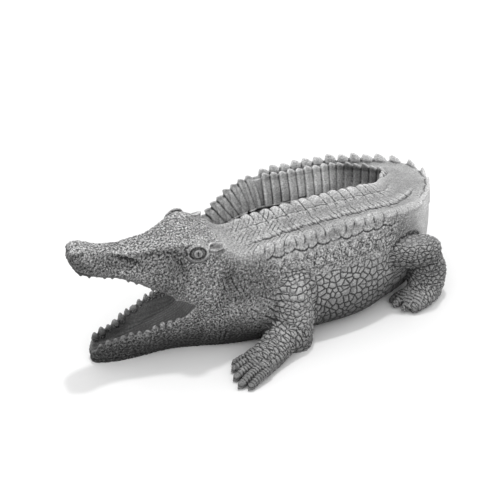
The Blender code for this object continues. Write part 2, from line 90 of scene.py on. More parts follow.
# Spine stations: x, y, half-width at the floor, half-width and height where the
# body is widest, half-width and height of the back's edge, height of its middle
SPINE = np.array((
    (-128, 0, 32, 54, 74, 36, 150, 160),
    (-100, 0, 41, 65, 72, 44, 166, 172),
    (-75, 0, 46, 73, 66, 46, 159, 162),
    (-50, 0, 49, 79, 62, 47, 154, 156),
    (-20, 0, 50, 84, 58, 47, 156, 158),
    (20, 0, 51, 88, 56, 47, 158, 161),
    (60, 0, 52, 91, 55, 47, 160, 164),
    (100, 0, 53, 91, 55, 47, 161, 165),
    (140, 0, 49, 86, 56, 47, 162, 165),
    (170, 0, 40, 76, 60, 46, 162, 164),
    (197, 1, 30, 64, 66, 46, 160, 162),
    (230, 11, 28, 54, 78, 45, 156, 158),
    (259, 35, 30, 48, 84, 43, 152, 155),
    (278, 66, 30, 43, 86, 38, 147, 151),
    (281, 86, 28, 38, 86, 31, 146, 149),
    (274, 106, 24, 33, 86, 23, 144, 144),
    (258, 122, 21, 31, 85, 19, 142, 139),
    (236, 139, 19, 30, 84, 16, 140, 136),
    (205, 158, 18, 30, 82, 14, 138, 133),
    (150, 169, 18, 30, 80, 13, 137, 132),
    (95, 172, 17, 29, 78, 11, 137, 134),
    (50, 173, 16, 28, 74, 6, 137, 138),
    (15, 170, 16, 27, 64, 4, 128, 130),
    (-20, 167, 15, 25, 52, 4, 104, 106),
    (-55, 163, 14, 22, 38, 4, 72, 74),
    (-90, 158, 11, 16, 24, 3, 40, 42),
    (-116, 154, 5, 7, 10, 2, 15, 17),
), dtype=float)

# Upper head stations: x, height of the middle, half-width and height of the top
# edge, of the hollow below it and of the lip, and height of the palate
HEAD = np.array((
    (-314, 198, 5, 197, 7, 193, 5, 188, 191),
    (-310, 206, 11, 203, 16, 196, 13, 181, 188),
    (-300, 213, 14, 209, 22, 196, 20, 173, 182),
    (-285, 212, 15, 207, 25, 193, 23, 168, 177),
    (-268, 204, 16, 198, 22, 182, 23, 161, 171),
    (-250, 201, 17, 193, 21, 175, 24, 156, 166),
    (-235, 199, 19, 189, 23, 170, 27, 149, 160),
    (-215, 200, 23, 191, 28, 171, 33, 139, 153),
    (-197, 200, 27, 193, 32, 172, 37, 127, 146),
    (-180, 201, 31, 195, 37, 172, 41, 118, 140),
    (-165, 202, 36, 196, 42, 172, 46, 106, 133),
    (-150, 199, 40, 198, 47, 172, 51, 99, 124),
    (-137, 196, 43, 200, 51, 170, 54, 88, 108),
    (-125, 193, 45, 199, 54, 168, 56, 70, 80),
    (-107, 184, 46, 188, 57, 162, 58, 60, 50),
    (-88, 174, 45, 176, 56, 152, 56, 60, 50),
    (-68, 161, 42, 161, 52, 140, 52, 60, 50),
    (-48, 148, 38, 146, 46, 128, 46, 60, 50),
), dtype=float)

# Lower jaw stations: x, half-width at the floor, half-width and height of the
# rim, and height of the trough between the rims
JAW = np.array((
    (-293, 4, 6, 17, 14),
    (-289, 9, 12, 23, 17),
    (-280, 13, 17, 29, 18),
    (-268, 17, 19, 34, 19),
    (-255, 20, 21, 38, 20),
    (-240, 21, 25, 42, 22),
    (-225, 21, 31, 46, 26),
    (-210, 21, 36, 50, 30),
    (-195, 21, 38, 56, 34),
    (-180, 22, 41, 59, 38),
    (-165, 24, 45, 65, 43),
    (-147, 29, 49, 75, 52),
    (-133, 34, 53, 92, 70),
    (-115, 38, 58, 104, 100),
), dtype=float)

# Limbs: each row is x, y, z, the half-width across and the half-thickness
NEAR_ARM = ((26, -18, 96, 36, 30), (20, -46, 92, 35, 31), (13, -70, 74, 32, 30),
            (9, -86, 46, 31, 29), (8, -90, 10, 30, 28), (8, -90, -8, 29, 27))
NEAR_PAW = ((14, -86, 34, 29, 36), (-16, -98, 22, 29, 27), (-46, -112, 12, 29, 21),
            (-74, -123, 7, 30, 15), (-86, -128, 3, 27, 11))
FAR_ARM = ((26, 18, 96, 36, 30), (20, 46, 90, 33, 29), (13, 70, 70, 30, 27),
           (8, 90, 42, 27, 24), (6, 94, 8, 26, 23), (6, 94, -8, 25, 22))
FAR_PAW = ((14, 94, 32, 25, 34), (-16, 98, 21, 25, 26), (-46, 101, 12, 26, 21),
           (-74, 103, 7, 27, 15), (-86, 104, 3, 24, 11))
NEAR_THIGH = ((186, -28, 82, 26, 26), (210, -50, 88, 27, 27), (234, -60, 91, 26, 27),
              (256, -61, 89, 24, 25), (270, -56, 85, 18, 18))
NEAR_SHANK = ((264, -38, 70, 22, 18), (265, -54, 52, 30, 24), (262, -61, 33, 32, 27),
              (254, -65, 12, 30, 25), (252, -66, -6, 28, 23))
NEAR_SOLE = ((272, -58, 12, 24, 22), (254, -68, 14, 27, 24), (236, -76, 12, 28, 22),
             (216, -82, 8, 26, 17), (206, -84, 4, 22, 13))
FAR_THIGH = ((205, 30, 82, 28, 24), (184, 52, 80, 27, 20), (162, 70, 70, 23, 17),
             (144, 84, 54, 18, 15))
FAR_SHANK = ((142, 82, 56, 18, 15), (150, 90, 34, 18, 15), (158, 92, 14, 18, 15),
             (158, 92, -6, 17, 14))
FAR_SOLE = ((166, 92, 9, 17, 17), (140, 98, 8, 19, 17), (118, 104, 5, 20, 14),
            (106, 106, 2, 18, 12))

# Where the limbs and the head run into the trunk, and how far the skin is eased there
LIMB_JOINS = ((16, -74, 102, 60), (16, 74, 102, 60), (200, -62, 80, 34), (200, 60, 80, 34),
              (-72, 0, 165, 60))

# Toes: root and tip on the floor plan, with the radius at the root
NEAR_TOES = ((-66, -104, -106, -102, 7.0), (-72, -112, -113, -118, 7.5),
             (-76, -124, -118, -138, 7.5), (-72, -136, -119, -157, 7.5),
             (-64, -146, -106, -166, 7.0))
FAR_TOES = ((-70, 84, -104, 74, 6.5), (-76, 93, -116, 88, 7.0),
            (-78, 103, -121, 102, 7.0), (-76, 113, -116, 117, 7.0),
            (-70, 121, -104, 129, 6.5))
NEAR_HIND_TOES = ((222, -60, 190, -64, 7.5), (218, -70, 188, -78, 8.0),
                  (220, -82, 197, -95, 8.0), (230, -90, 214, -104, 8.0))
FAR_HIND_TOES = ((116, 94, 84, 88, 5.5), (112, 102, 78, 99, 6.0),
                 (114, 110, 80, 111, 6.0), (120, 115, 90, 122, 5.5))
TOES = NEAR_TOES + FAR_TOES + NEAR_HIND_TOES + FAR_HIND_TOES

# Eye, brow, ear and nostril mounds: centres and radii, with the way the eye looks and
# how far out from its middle its front starts
EYE = (-132, 47, 185)
EYE_RADIUS = 13.0
EYE_RADII = (EYE_RADIUS, EYE_RADIUS * 0.86, EYE_RADIUS * 0.90)
EYE_LOOKS = (-0.25, 1.0, 0.15)
EYE_FRONT = 3.0
LID_RADIUS = 14.0
IRIS_RADIUS = 7.4
BROW = (-130, 36, 192)
BROW_RADII = (19, 13, 9)
EAR = (-101, 47, 184)
EAR_RADII = (14, 6, 6.5)
NOSE = (-299, 9, 207)
NOSE_RADII = (14, 9, 7)

# Folds round the eye: how far out they lie, two radii, girth, and the turn they span
EYE_FOLDS = ((6.6, 14.2, 11.6, 1.9, 0.0, 360.0), (5.0, 17.0, 13.6, 2.0, 20.0, 160.0),
             (4.2, 17.0, 14.6, 1.5, 195.0, 345.0))

# Teeth: how many on each lower and upper rim, their length and root radius, and
# the rise and girth of a tooth's rings
LOWER_TEETH = 11
UPPER_TEETH = 11
TOOTH_LENGTH = 7.0
TOOTH_RADIUS = 4.4
UPPER_TOOTH_LENGTH = 4.0
UPPER_TOOTH_RADII = (3.6, 3.0)
TOOTH_RINGS = ((-0.6, 1.0), (0.0, 1.0), (0.35, 0.86), (0.7, 0.60), (0.92, 0.34), (1.0, 0.12))
TOOTH_SIDES = 10

# The tail: where it starts along the spine, its ridge's full height, and the height of
# its ribs' ledge there
TAIL_RUN = 428.0
TAIL_RIDGE = 137.0
RIB_FOOT = 96.0

# The tail's ribs: their lobes, the grooves between them, the narrow end's ridge, how far
# ahead and how much taller the outer row is, and the room and the fading at the tip
LOBE_HEIGHT = 13.0
RIB_LENGTH = 15.0
RIB_GROOVE = 3.0
NARROW_RIDGE = 4.0
NARROW_AT = 6.5
OUTER_LEAD = 62.0
OUTER_TALLER = 1.12
TIP_ROOM = 8.0
TIP_FADE = 75.0

# Rows of ribs: the flank, spacing against the inner row's, and how tall the first stands
RIB_ROWS = ((-1, 1.30, 0.42), (1, 1.0, 0.55), (0, 0.94, 1.0))

# A rib's outline, how far out, how high and how much it flares, on its open and its
# hidden side, and its rings: how far along, how swollen and how tall
RIB_PROUD = ((2.6, -40.0, 14.6), (2.9, -34.0, 13.0), (2.9, -20.0, 9.0), (2.9, -9.0, 4.4),
             (2.9, 0.0, 0.4), (2.4, 0.55, 0.0), (1.4, 0.85, 0.0), (0.0, 1.0, 0.0))
RIB_INNER = ((-2.2, 0.9, 0.0), (-4.2, 0.55, 0.0), (-4.8, 0.0, 0.0), (-4.8, -9.0, 1.0),
             (-5.0, -20.0, 4.0), (-5.0, -40.0, 8.0))
RIB_RINGS = ((-0.54, 0.50, 0.30), (-0.44, 0.86, 0.52), (-0.24, 1.0, 0.74), (0.02, 1.0, 0.92),
             (0.24, 1.0, 1.0), (0.37, 0.86, 0.94), (0.43, 0.50, 0.66))

# The back's keeled scutes: where they start, and rows of place, rise, how far the scutes
# are parted, and shift; then the grooves, nicks and scored lines between them
SCUTE_RUN = 75.0
SCUTE_PITCH = 17.0
SCUTE_WIDTH = 9.5
SCUTE_ROWS = ((-46.0, 4.2, 0.40, 0.0), (-16.0, 3.2, 0.60, 0.5), (15.0, 2.6, 0.75, 0.2),
              (45.0, 4.2, 0.95, 0.0))
SCUTE_GROOVE = 1.1
NICK_PITCH = 5.6
NICK_DEPTH = 0.8
SCORE_PITCH = 6.5
SCORE_DEPTH = 0.7

# The back's scalloped edge, the rows of bumps below it, as height, rise, half-height and
# shift, and the groove along the floor
EDGE_PITCH = 19.0
EDGE_LEVEL = 149.0
EDGE_RISE = 1.2
EDGE_GROOVE = 1.5
FLANK_BUMP_ROWS = ((138.0, 2.0, 5.5, 0.0), (123.0, 2.4, 5.5, 0.5), (108.0, 1.3, 4.5, 0.0))
FLANK_BUMP_PITCH = 18.5
STRIP_HEIGHT = 7.0
STRIP_DEPTH = 1.1

# Folds of the neck, ridges of the near thigh and bars of the toes
NECK_FOLD_PITCH = 8.0
NECK_FOLD_DEPTH = 0.9
LONG_FOLD_PITCH = 12.0
THIGH_BAR_HEIGHTS = (84.0, 72.0)
THIGH_BAR_RISE = 1.9
TOE_BAR_PITCH = 4.8
TOE_BAR_DEPTH = 0.9

# The head: hollows in its sides, as x, z, half-length, half-height, slope and depth,
# the ears' hollows and rims, the dip of the forehead and the nostrils
HEAD_HOLLOWS = ((-234.0, 184.0, 19.0, 4.5, -0.47, 3.6), (-158.0, 167.0, 9.0, 15.0, -1.1, 3.2),
                (-299.0, 176.0, 13.0, 3.0, -0.5, 2.2), (-80.0, 150.0, 4.0, 26.0, 0.0, 1.6))
EAR_HOLLOW = (-102.0, 50.0, 189.0)
EAR_HOLLOW_RADII = (9.0, 6.0, 4.5)
EAR_DEPTH = 3.0
EAR_RIM = 1.5
FOREHEAD_DIP = 6.0
NOSTRIL_DEPTH = 3.0
MOUTH_WRINKLE_DEPTH = 0.12

# How the stone's tone rises with height out of the painted shade low down: what it is at the floor, and
# each share with the heights that it is gained between
SHADED_TONE_AT_FLOOR = 0.40
TONE_RISES_OUT_OF_SHADE = ((0.40, 0.0, 75.0), (0.22, 75.0, 130.0))

# How much the stone pales, or below nought darkens, at each place. Faces turned up take painted light;
# faces turned down, the throat, the low flanks, the head's and the ears' hollows, the mouth and the wall
# under the tail's bars take painted shade; the bend takes painted shadow, and the inner bars painted
# light and shade
STONE_TONES = {
    "facing_up": 0.38, "painted_shade_facing_down": -0.35,
    "throat_shade": -0.58, "neck": -0.56, "cheek": -0.44, "snout": -0.30, "head_top": -0.12,
    "hollow": -0.13, "ear": -0.40, "ear_rim": 0.30, "eye": -0.55, "mouth": -0.10,
    "high_flank": -0.12, "low_flank_shade": -0.34, "rump": 1.4, "back": -0.08, "back_edge": 0.25,
    "bars": 1.15, "shaded_wall": -0.45, "last_bars": -0.32, "bar_light_and_shade": 0.36, "bend": -0.42,
    "paw": 0.26, "hind_foot": 0.68, "thigh": -0.22,
}

# How much more painted shadow the bars' upper parts take at the bend, as a share of its tone
UPPER_BEND_SHADOW = 0.44 / 0.42

# The sizes that the scales' node tree takes, each named as its property is
PRESSED_SIZES = ("Cobble Size", "Cobble Depth", "Plate Depth", "Furrow Size", "Furrow Depth",
                 "Bead Size", "Bead Depth", "Grain Depth")

# A scale's crease, shoulder and dome, in widths of the scale: how far each reaches, its share of the
# depth and how much painted shade it takes
SCALE_RANDOMNESS = 0.85
CREASE = (0.11, 0.30, 0.26)
SHOULDER = (0.34, 0.40, 0.25)
DOME = (0.72, 0.60)

# Noise of the furrows and beads: scale, detail, roughness and distortion. The furrows run
# where it crosses a level, this near to it, between lumps; beads rise between two levels
FURROW_NOISE = (1.25, 2.0, 0.55, 0.8)
FURROW_LEVEL = 0.47
FURROW_WIDTH = 0.026
FURROW_LUMPS = 4.2
LUMP_SHARE = 0.62
FURROW_SHARE = 0.45
FURROW_SHADOW = 0.30
BEAD_NOISE = (1.2, 2.0, 0.5, 0.4)
BEAD_LEVELS = (0.36, 0.60)
BEAD_SINK = 0.6

# Bands of the limbs' scales: how they wander, and the width, depth and shadow of the
# grooves between them, in scales' lengths and shares of the scales' depth
BAND_NOISE = (0.07, 1.0)
BAND_WANDER = 1.2
BAND_GROOVE = 0.24
BAND_DEPTH = 0.9
BAND_SHADOW = 0.75

# Noise of the casting's grain and of the cobbles' wandering, with how far they wander
GRAIN_NOISE = (0.36, 3.0)
COBBLE_NOISE = (0.045, 1.0)
COBBLE_WANDER = 7.0

# Noise of the stone's finish: scale per metre, detail and roughness
BLOTCH_NOISE = (22.0, 5.0, 0.6)
SPECKLE_NOISE = (520.0, 3.0, 0.75)
SWING_NOISE = (300.0, 2.0, 0.7)
GRIT_NOISE = (1500.0, 3.0, 0.7)

# How the finish turns a depth, a height or a noise into a share: from, to, and the share
# at each end
# The fine recesses take a dark wash and painted shade
RECESS_WASH_AND_SHADE = (0.12, 0.46, 0.0, 0.90)
# The wider hollows and the scales' creases take painted shade
WIDE_SHADE = (1.1, 4.2, 0.0, 0.62)
HOLLOW_SHADE = 0.80
WORN_EDGES = (0.22, 0.62, 0.0, 0.85)
PALE_BLOTCHES = (0.35, 0.68)
PALE_BLOTCH_GAIN = 1.35
PALE_GRIT = (0.35, 0.75, 0.0, 0.35)
MOTTLING = (0.34, 0.66, 0.66, 1.34)
BEAD_MOTTLING = (0.38, 0.62, -0.48, 0.48)
ROUGHNESS = (0.3, 0.7, 0.78, 0.95)
SPECULAR = 0.32
BUMP_STRENGTH = 0.55
BUMP_DISTANCE = 0.0009

# Patterns on the two flanks, and on each limb, are read this far apart
FLANK_SHIFT = 900.0
LIMB_SHIFT = 20.0

# Points are compared with a path in batches of this many, and with each third
# station of the spine first. A point off the limbs or the eyes is given a distance
# past any real one
BATCH = 20000
COARSE_STEP = 3
OFF_THE_LIMBS = 9.0
OFF_THE_EYES = 99.0

# How far from a limb's axis its scales are looked for, and the limbs: which way each is
# drawn wide, its scales' pitch and width, and whether the scales' bands lie level
LIMB_REACH = 48.0
LIMB_SCALES = ((NEAR_ARM, (1, 0, 0), 8.8, 10.0, True), (FAR_ARM, (1, 0, 0), 8.8, 10.0, True),
               (NEAR_PAW, (0, 1, 0), 7.6, 12.0, False), (FAR_PAW, (0, 1, 0), 7.6, 12.0, False),
               (NEAR_THIGH, (0, 0, 1), 7.6, 8.0, True), (FAR_THIGH, (0, 0, 1), 7.6, 8.0, True),
               (NEAR_SHANK, (1, 0, 0), 7.6, 8.0, True), (FAR_SHANK, (1, 0, 0), 7.6, 8.0, True),
               (NEAR_SOLE, (0, 1, 0), 6.6, 11.0, False), (FAR_SOLE, (0, 1, 0), 6.6, 11.0, False))

# How finely the forms are lofted, and how many triangles each section of the casting may have
LOFT_STEP = 3.0
SECTION_TRIANGLES = 199000

# Planes that end the skin's sections: a place and the normal of the side that is left out
HEAD_PLANE = ((-129.0, 0.0, 0.0), (1.0, 0.0, -0.41))
JAW_PLANE = ((0.0, 0.0, 92.0), (0.0, 0.0, 1.0))
TAIL_PLANE = ((0.0, 132.0, 0.0), (0.0, 1.0, 0.0))
HIP_PLANE = ((190.0, 0.0, 0.0), (1.0, 0.0, 0.0))
WAIST_PLANE = ((70.0, 0.0, 0.0), (1.0, 0.0, 0.0))


def beyond(plane):
    """The same plane, with its other side left out."""
    place, normal = plane
    return place, tuple(-part for part in normal)


SECTIONS = (("crocodile_head", (HEAD_PLANE, beyond(JAW_PLANE))),
            ("crocodile_jaw", (HEAD_PLANE, JAW_PLANE)),
            ("crocodile_fore", (beyond(HEAD_PLANE), TAIL_PLANE, WAIST_PLANE)),
            ("crocodile_middle", (TAIL_PLANE, beyond(WAIST_PLANE), HIP_PLANE)),
            ("crocodile_hind", (TAIL_PLANE, beyond(HIP_PLANE))),
            ("crocodile_tail", (beyond(TAIL_PLANE),)))

# Studio: lights by name, place, width in metres and power in watts
FLOOR_REACH = 6.0
WORLD_STRENGTH = 0.97
LIGHTS = (("key_light", (0.70, 1.36, 6.0), 0.42, 113.0),)
CAMERA_LENS = 85.0
CAMERA_TARGET = (0.0, 0.0625, 0.08)
CAMERA_DISTANCE = 1.9
CAMERA_AZIMUTH = -24.0
CAMERA_ELEVATION = 35.0


class CastCrocodileSizes(bpy.types.PropertyGroup):
    """Sizes of the finer forms, in millimetres of the drawn figure."""

    skin_grain: FloatProperty(
        name="Skin Grain", description="Width of the facets of the finished skin, in mm",
        default=1.25, min=1.0, max=6.0)
    rib_pitch: FloatProperty(
        name="Rib Pitch", description="Spacing of the tail's ribs along its crest, in mm",
        default=15.2, min=8.0, max=30.0)
    tooth_count: IntProperty(
        name="Teeth", description="Teeth on each side of the lower jaw",
        default=LOWER_TEETH, min=4, max=24)
    cobble_size: FloatProperty(
        name="Cobble Size", description="Width of the flank's cobbled scales, in mm",
        default=11.0, min=4.0, max=30.0)
    cobble_depth: FloatProperty(
        name="Cobble Depth", description="Depth of the grooves between the cobbles, in mm",
        default=2.0, min=0.0, max=4.0)
    plate_depth: FloatProperty(
        name="Plate Depth", description="Depth of the grooves between the limbs' scales, in mm",
        default=1.9, min=0.0, max=4.0)
    furrow_size: FloatProperty(
        name="Furrow Size", description="Spacing of the short furrows on the head, in mm",
        default=4.0, min=2.0, max=15.0)
    furrow_depth: FloatProperty(
        name="Furrow Depth", description="Depth of the furrows on the head, in mm",
        default=0.9, min=0.0, max=4.0)
    bead_size: FloatProperty(
        name="Bead Size", description="Spacing of the small beads on the neck and flanks, in mm",
        default=4.6, min=2.0, max=15.0)
    bead_depth: FloatProperty(
        name="Bead Depth", description="Height of the small beads, in mm",
        default=0.75, min=0.0, max=4.0)
    grain_depth: FloatProperty(
        name="Grain Depth", description="Height of the casting's fine grain, in mm",
        default=0.35, min=0.0, max=2.0)


class CastCrocodileColours(bpy.types.PropertyGroup):
    """Colours of the weathered casting and of the studio."""

    stone: FloatVectorProperty(
        name="Stone", description="The casting's middle grey", subtype="COLOR", size=4,
        default=(0.175, 0.175, 0.175, 1.0), min=0.0, max=1.0)
    worn: FloatVectorProperty(
        name="Worn Edges", description="The pale grey of worn edges and tops", subtype="COLOR",
        size=4, default=(0.40, 0.40, 0.40, 1.0), min=0.0, max=1.0)
    # The colour of the dark wash in the fine recesses, and of the painted shade in them, in the scales'
    # creases and in the wider hollows
    recess: FloatVectorProperty(
        name="Recesses", description="The dark wash left in the recesses", subtype="COLOR",
        size=4, default=(0.030, 0.030, 0.031, 1.0), min=0.0, max=1.0)
    floor: FloatVectorProperty(
        name="Floor", description="The studio's pale floor", subtype="COLOR", size=4,
        default=(0.93, 0.93, 0.93, 1.0), min=0.0, max=1.0)


def between(table, places):
    """Rows of a table read smoothly at places along its first column."""
    knots = table[:, 0]
    slopes = np.gradient(table, knots, axis=0)
    index = np.clip(np.searchsorted(knots, places) - 1, 0, len(knots) - 2)
    gap = (knots[index + 1] - knots[index])[:, None]
    t = (places[:, None] - knots[index][:, None]) / gap
    start = (1 + 2 * t) * (1 - t) ** 2 * table[index] + t * (1 - t) ** 2 * gap * slopes[index]
    end = t * t * (3 - 2 * t) * table[index + 1] - t * t * (1 - t) * gap * slopes[index + 1]
    return start + end


def along(rows, step):
    """Rows read smoothly at even steps of the path that their first columns draw."""
    rows = np.array(rows, dtype=float)
    axes = 3 if rows.shape[1] == 5 else 2
    reach = np.linalg.norm(np.diff(rows[:, :axes], axis=0), axis=1)
    station = np.concatenate(([0.0], np.cumsum(reach)))
    count = max(3, int(round(station[-1] / step)) + 1)
    table = np.column_stack((station, rows))
    return between(table, np.linspace(0.0, station[-1], count))


def rounded(corners, per_side):
    """A closed smooth curve through a ring's corners."""
    corners = np.array(corners, dtype=float)
    before = np.roll(corners, 1, axis=0)
    after = np.roll(corners, -1, axis=0)
    next_after = np.roll(corners, -2, axis=0)
    t = np.linspace(0.0, 1.0, per_side, endpoint=False)[None, :, None]
    a = corners[:, None]
    b = after[:, None]
    slope_a = 0.5 * (after - before)[:, None]
    slope_b = 0.5 * (next_after - corners)[:, None]
    curve = (1 + 2 * t) * (1 - t) ** 2 * a + t * (1 - t) ** 2 * slope_a
    curve = curve + t * t * (3 - 2 * t) * b - t * t * (1 - t) * slope_b
    return curve.reshape(-1, corners.shape[1])


def skin_rings(rings):
    """Points and faces of a closed tube through rings of equal length."""
    rings = np.array(rings)
    count, size = rings.shape[:2]
    faces = []
    for ring in range(count - 1):
        for spot in range(size):
            following = (spot + 1) % size
            low = ring * size
            high = low + size
            faces.append((low + spot, low + following, high + following, high + spot))
    faces.append(tuple(reversed(range(size))))
    faces.append(tuple(range((count - 1) * size, count * size)))
    return rings.reshape(-1, 3), faces


def both_sides(half):
    """A ring from its right half, listed from the bottom to the top."""
    half = np.array(half, dtype=float)
    mirrored = half[::-1] * (-1.0, 1.0)
    return np.concatenate((half, mirrored))


def body_section(foot, wide, wide_z, ridge, ridge_z, crown):
    """One ring of the trunk, neck or tail, as offsets across and heights."""
    waist = (foot + 0.78 * (wide - foot), 0.30 * wide_z)
    shoulder = (ridge + 0.64 * (wide - ridge), 0.5 * (wide_z + ridge_z))
    half = [(0.5 * foot, -SINK), (foot, -SINK), waist, (wide, wide_z), shoulder,
            (ridge, ridge_z), (0.45 * ridge, 0.4 * ridge_z + 0.6 * crown)]
    return rounded(both_sides(half), 5)


def body_loft(step):
    """The neck, trunk and tail."""
    path = along(SPINE, step)
    centre = path[:, 1:3]
    heading = np.gradient(centre, axis=0)
    heading /= np.linalg.norm(heading, axis=1)[:, None]
    rings = []
    for spot, way, row in zip(centre, heading, path):
        ring = body_section(*row[3:])
        across = ring[:, :1] * np.array(((-way[1], way[0]),))
        rings.append(np.column_stack((spot + across, ring[:, 1])))
    return skin_rings(rings)


def head_section(crown, edge, edge_z, hollow, hollow_z, lip, lip_z, palate):
    """One ring of the upper head."""
    bulge = (lip + 2.5, lip_z + 0.42 * (hollow_z - lip_z))
    half = [(0.35 * lip, palate + 2.0), (0.72 * lip, palate), (lip - 3.0, lip_z + 1.0),
            (lip, lip_z), bulge, (hollow, hollow_z), (edge, edge_z),
            (0.5 * edge, 0.45 * edge_z + 0.55 * crown)]
    return rounded(both_sides(half), 5)


def jaw_section(foot, rim, rim_z, trough):
    """One ring of the lower jaw."""
    half = [(0.5 * foot, -SINK), (foot, -SINK), (0.4 * foot + 0.6 * rim + 1.5, 0.42 * rim_z),
            (rim, rim_z), (rim - 4.0, rim_z), (0.62 * (rim - 4.0), trough + 2.0),
            (0.25 * rim, trough)]
    return rounded(both_sides(half), 5)


def level_loft(table, section, step):
    """A form whose rings stand across the X axis."""
    length = table[-1, 0] - table[0, 0]
    places = np.linspace(table[0, 0], table[-1, 0], int(length / step) + 1)
    rings = []
    for row in between(table, places):
        ring = section(*row[1:])
        rings.append(np.column_stack((np.full(len(ring), row[0]), ring)))
    return skin_rings(rings)


def limb_loft(rows, across, step):
    """A limb along a path, wide along the given direction."""
    path = along(rows, step)
    centre = path[:, 1:4]
    heading = np.gradient(centre, axis=0)
    turn = np.linspace(0.0, 2.0 * math.pi, 20, endpoint=False)
    rings = []
    for spot, way, row in zip(centre, heading, path):
        way = Vector(way).normalized()
        side = Vector(across)
        side = (side - side.dot(way) * way).normalized()
        lift = way.cross(side)
        ring = [spot + row[4] * math.cos(a) * np.array(side)
                + row[5] * math.sin(a) * np.array(lift) for a in turn]
        rings.append(ring)
    return skin_rings(rings)


def taper(start, end, root, tip, sides=8):
    """A tapering round form from start to end, with rounded ends."""
    start = Vector(start)
    end = Vector(end)
    way = (end - start).normalized()
    side = way.orthogonal().normalized()
    lift = way.cross(side)
    shares = ((-0.8, 0.5), (-0.4, 0.9), (0.0, 1.0), (1.0, 1.0), (1.4, 0.9), (1.8, 0.5))
    rings = []
    for share, girth in shares:
        along_way = min(max(share, 0.0), 1.0)
        radius = root + (tip - root) * along_way
        spot = start.lerp(end, along_way) + way * radius * (share - along_way)
        radius *= girth
        ring = []
        for index in range(sides):
            angle = 2.0 * math.pi * index / sides
            ring.append(spot + side * radius * math.cos(angle) + lift * radius * math.sin(angle))
        rings.append(np.array(ring))
    return skin_rings(rings)


def egg(centre, radii, rings=10, sides=16):
    """An egg-shaped lump."""
    shell = []
    for index in range(rings):
        rise = math.pi * (index + 0.5) / rings
        ring = []
        for step in range(sides):
            turn = 2.0 * math.pi * step / sides
            ring.append((centre[0] + radii[0] * math.sin(rise) * math.cos(turn),
                         centre[1] + radii[1] * math.sin(rise) * math.sin(turn),
                         centre[2] - radii[2] * math.cos(rise)))
        shell.append(ring)
    return skin_rings(shell)


def left_and_right(make):
    """The same form at the animal's left and right."""
    return [make(side) for side in (-1, 1)]


def toe(root_x, root_y, tip_x, tip_y, radius):
    """One toe, arched at its knuckle, with its claw."""
    root = Vector((root_x, root_y, radius + 4.0))
    tip = Vector((tip_x, tip_y, 0.6 * radius))
    way = tip - root
    knuckle = root + 0.45 * way + Vector((0, 0, 2.5))
    claw = root + 0.80 * way
    return [taper(root, knuckle, radius + 1.0, radius), taper(knuckle, claw, radius, 0.85 * radius),
            taper(claw, tip - 0.06 * way - Vector((0, 0, 1.5)), 0.62 * radius, 0.22 * radius)]


def spine_path():
    """The spine in even steps: its rows, headings, the crest's slope and the crest's length."""
    rows = along(SPINE, 1.0)
    heading = np.gradient(rows[:, 1:3], axis=0)
    heading /= np.linalg.norm(heading, axis=1)[:, None]
    slope = np.gradient(rows[:, 7], rows[:, 0])
    reach = np.hypot(np.diff(rows[:, 0]), np.diff(rows[:, 7]))
    crest = np.concatenate(([0.0], np.cumsum(reach)))
    return rows, heading, slope, crest


def joined(forms, name):
    """One mesh object of several closed forms, in metres."""
    points = []
    faces = []
    start = 0
    for form_points, form_faces in forms:
        points.append(np.asarray(form_points, dtype=float))
        faces += [tuple(start + index for index in face) for face in form_faces]
        start += len(form_points)
    mesh = bpy.data.meshes.new(name)
    mesh.from_pydata((np.concatenate(points) * UNIT).tolist(), [], faces)
    shape = bmesh.new()
    shape.from_mesh(mesh)
    bmesh.ops.recalc_face_normals(shape, faces=shape.faces)
    shape.to_mesh(mesh)
    shape.free()
    return linked(name, mesh)


def linked(name, mesh):
    """An object for a mesh, in the scene."""
    each = bpy.data.objects.new(name, mesh)
    bpy.context.scene.collection.objects.link(each)
    return each


def bake_modifiers(each):
    """Turn an object's evaluated shape into its mesh and drop its modifiers."""
    depsgraph = bpy.context.evaluated_depsgraph_get()
    mesh = bpy.data.meshes.new_from_object(
        each.evaluated_get(depsgraph), preserve_all_data_layers=True, depsgraph=depsgraph)
    each.modifiers.clear()
    each.data = mesh
    return each


def with_modifier(each, kind, **settings):
    """Apply one modifier to an object's mesh."""
    modifier = each.modifiers.new(kind.title(), kind)
    for key, value in settings.items():
        setattr(modifier, key, value)
    return bake_modifiers(each)


def take_in(each, other):
    """Add another object's mesh to an object and remove the other."""
    shape = bmesh.new()
    shape.from_mesh(each.data)
    shape.from_mesh(other.data)
    shape.to_mesh(each.data)
    shape.free()
    bpy.data.objects.remove(other, do_unlink=True)


def mesh_points(mesh):
    """A mesh's points in drawn millimetres, and its normals."""
    count = len(mesh.vertices)
    points = np.empty(count * 3, dtype=np.float32)
    mesh.vertices.foreach_get("co", points)
    normals = np.empty(count * 3, dtype=np.float32)
    mesh.vertices.foreach_get("normal", normals)
    return points.reshape(-1, 3).astype(float) / UNIT, normals.reshape(-1, 3).astype(float)


def keep_value(mesh, name, values, kind="FLOAT"):
    """Store one number or vector on each point of a mesh."""
    if name in mesh.attributes:
        mesh.attributes.remove(mesh.attributes[name])
    layer = mesh.attributes.new(name, kind, "POINT")
    key = "value" if kind == "FLOAT" else "vector"
    layer.data.foreach_set(key, np.ascontiguousarray(values, dtype=np.float32).ravel())


def ease_joins(each):
    """Ease the skin where the limbs and the head run into the trunk."""
    points, _ = mesh_points(each.data)
    weight = np.zeros(len(points))
    for x, y, z, reach in LIMB_JOINS:
        gap = np.linalg.norm(points - (x, y, z), axis=1)
        weight = np.maximum(weight, fall(gap, 0.5 * reach, reach))
    group = each.vertex_groups.new(name="joins")
    for level in np.linspace(0.1, 1.0, 10):
        chosen = np.nonzero(np.abs(weight - level) <= 0.05)[0]
        group.add(chosen.tolist(), float(level), "REPLACE")
    with_modifier(each, "SMOOTH", factor=0.5, iterations=JOIN_EASE, vertex_group="joins")
    each.vertex_groups.clear()


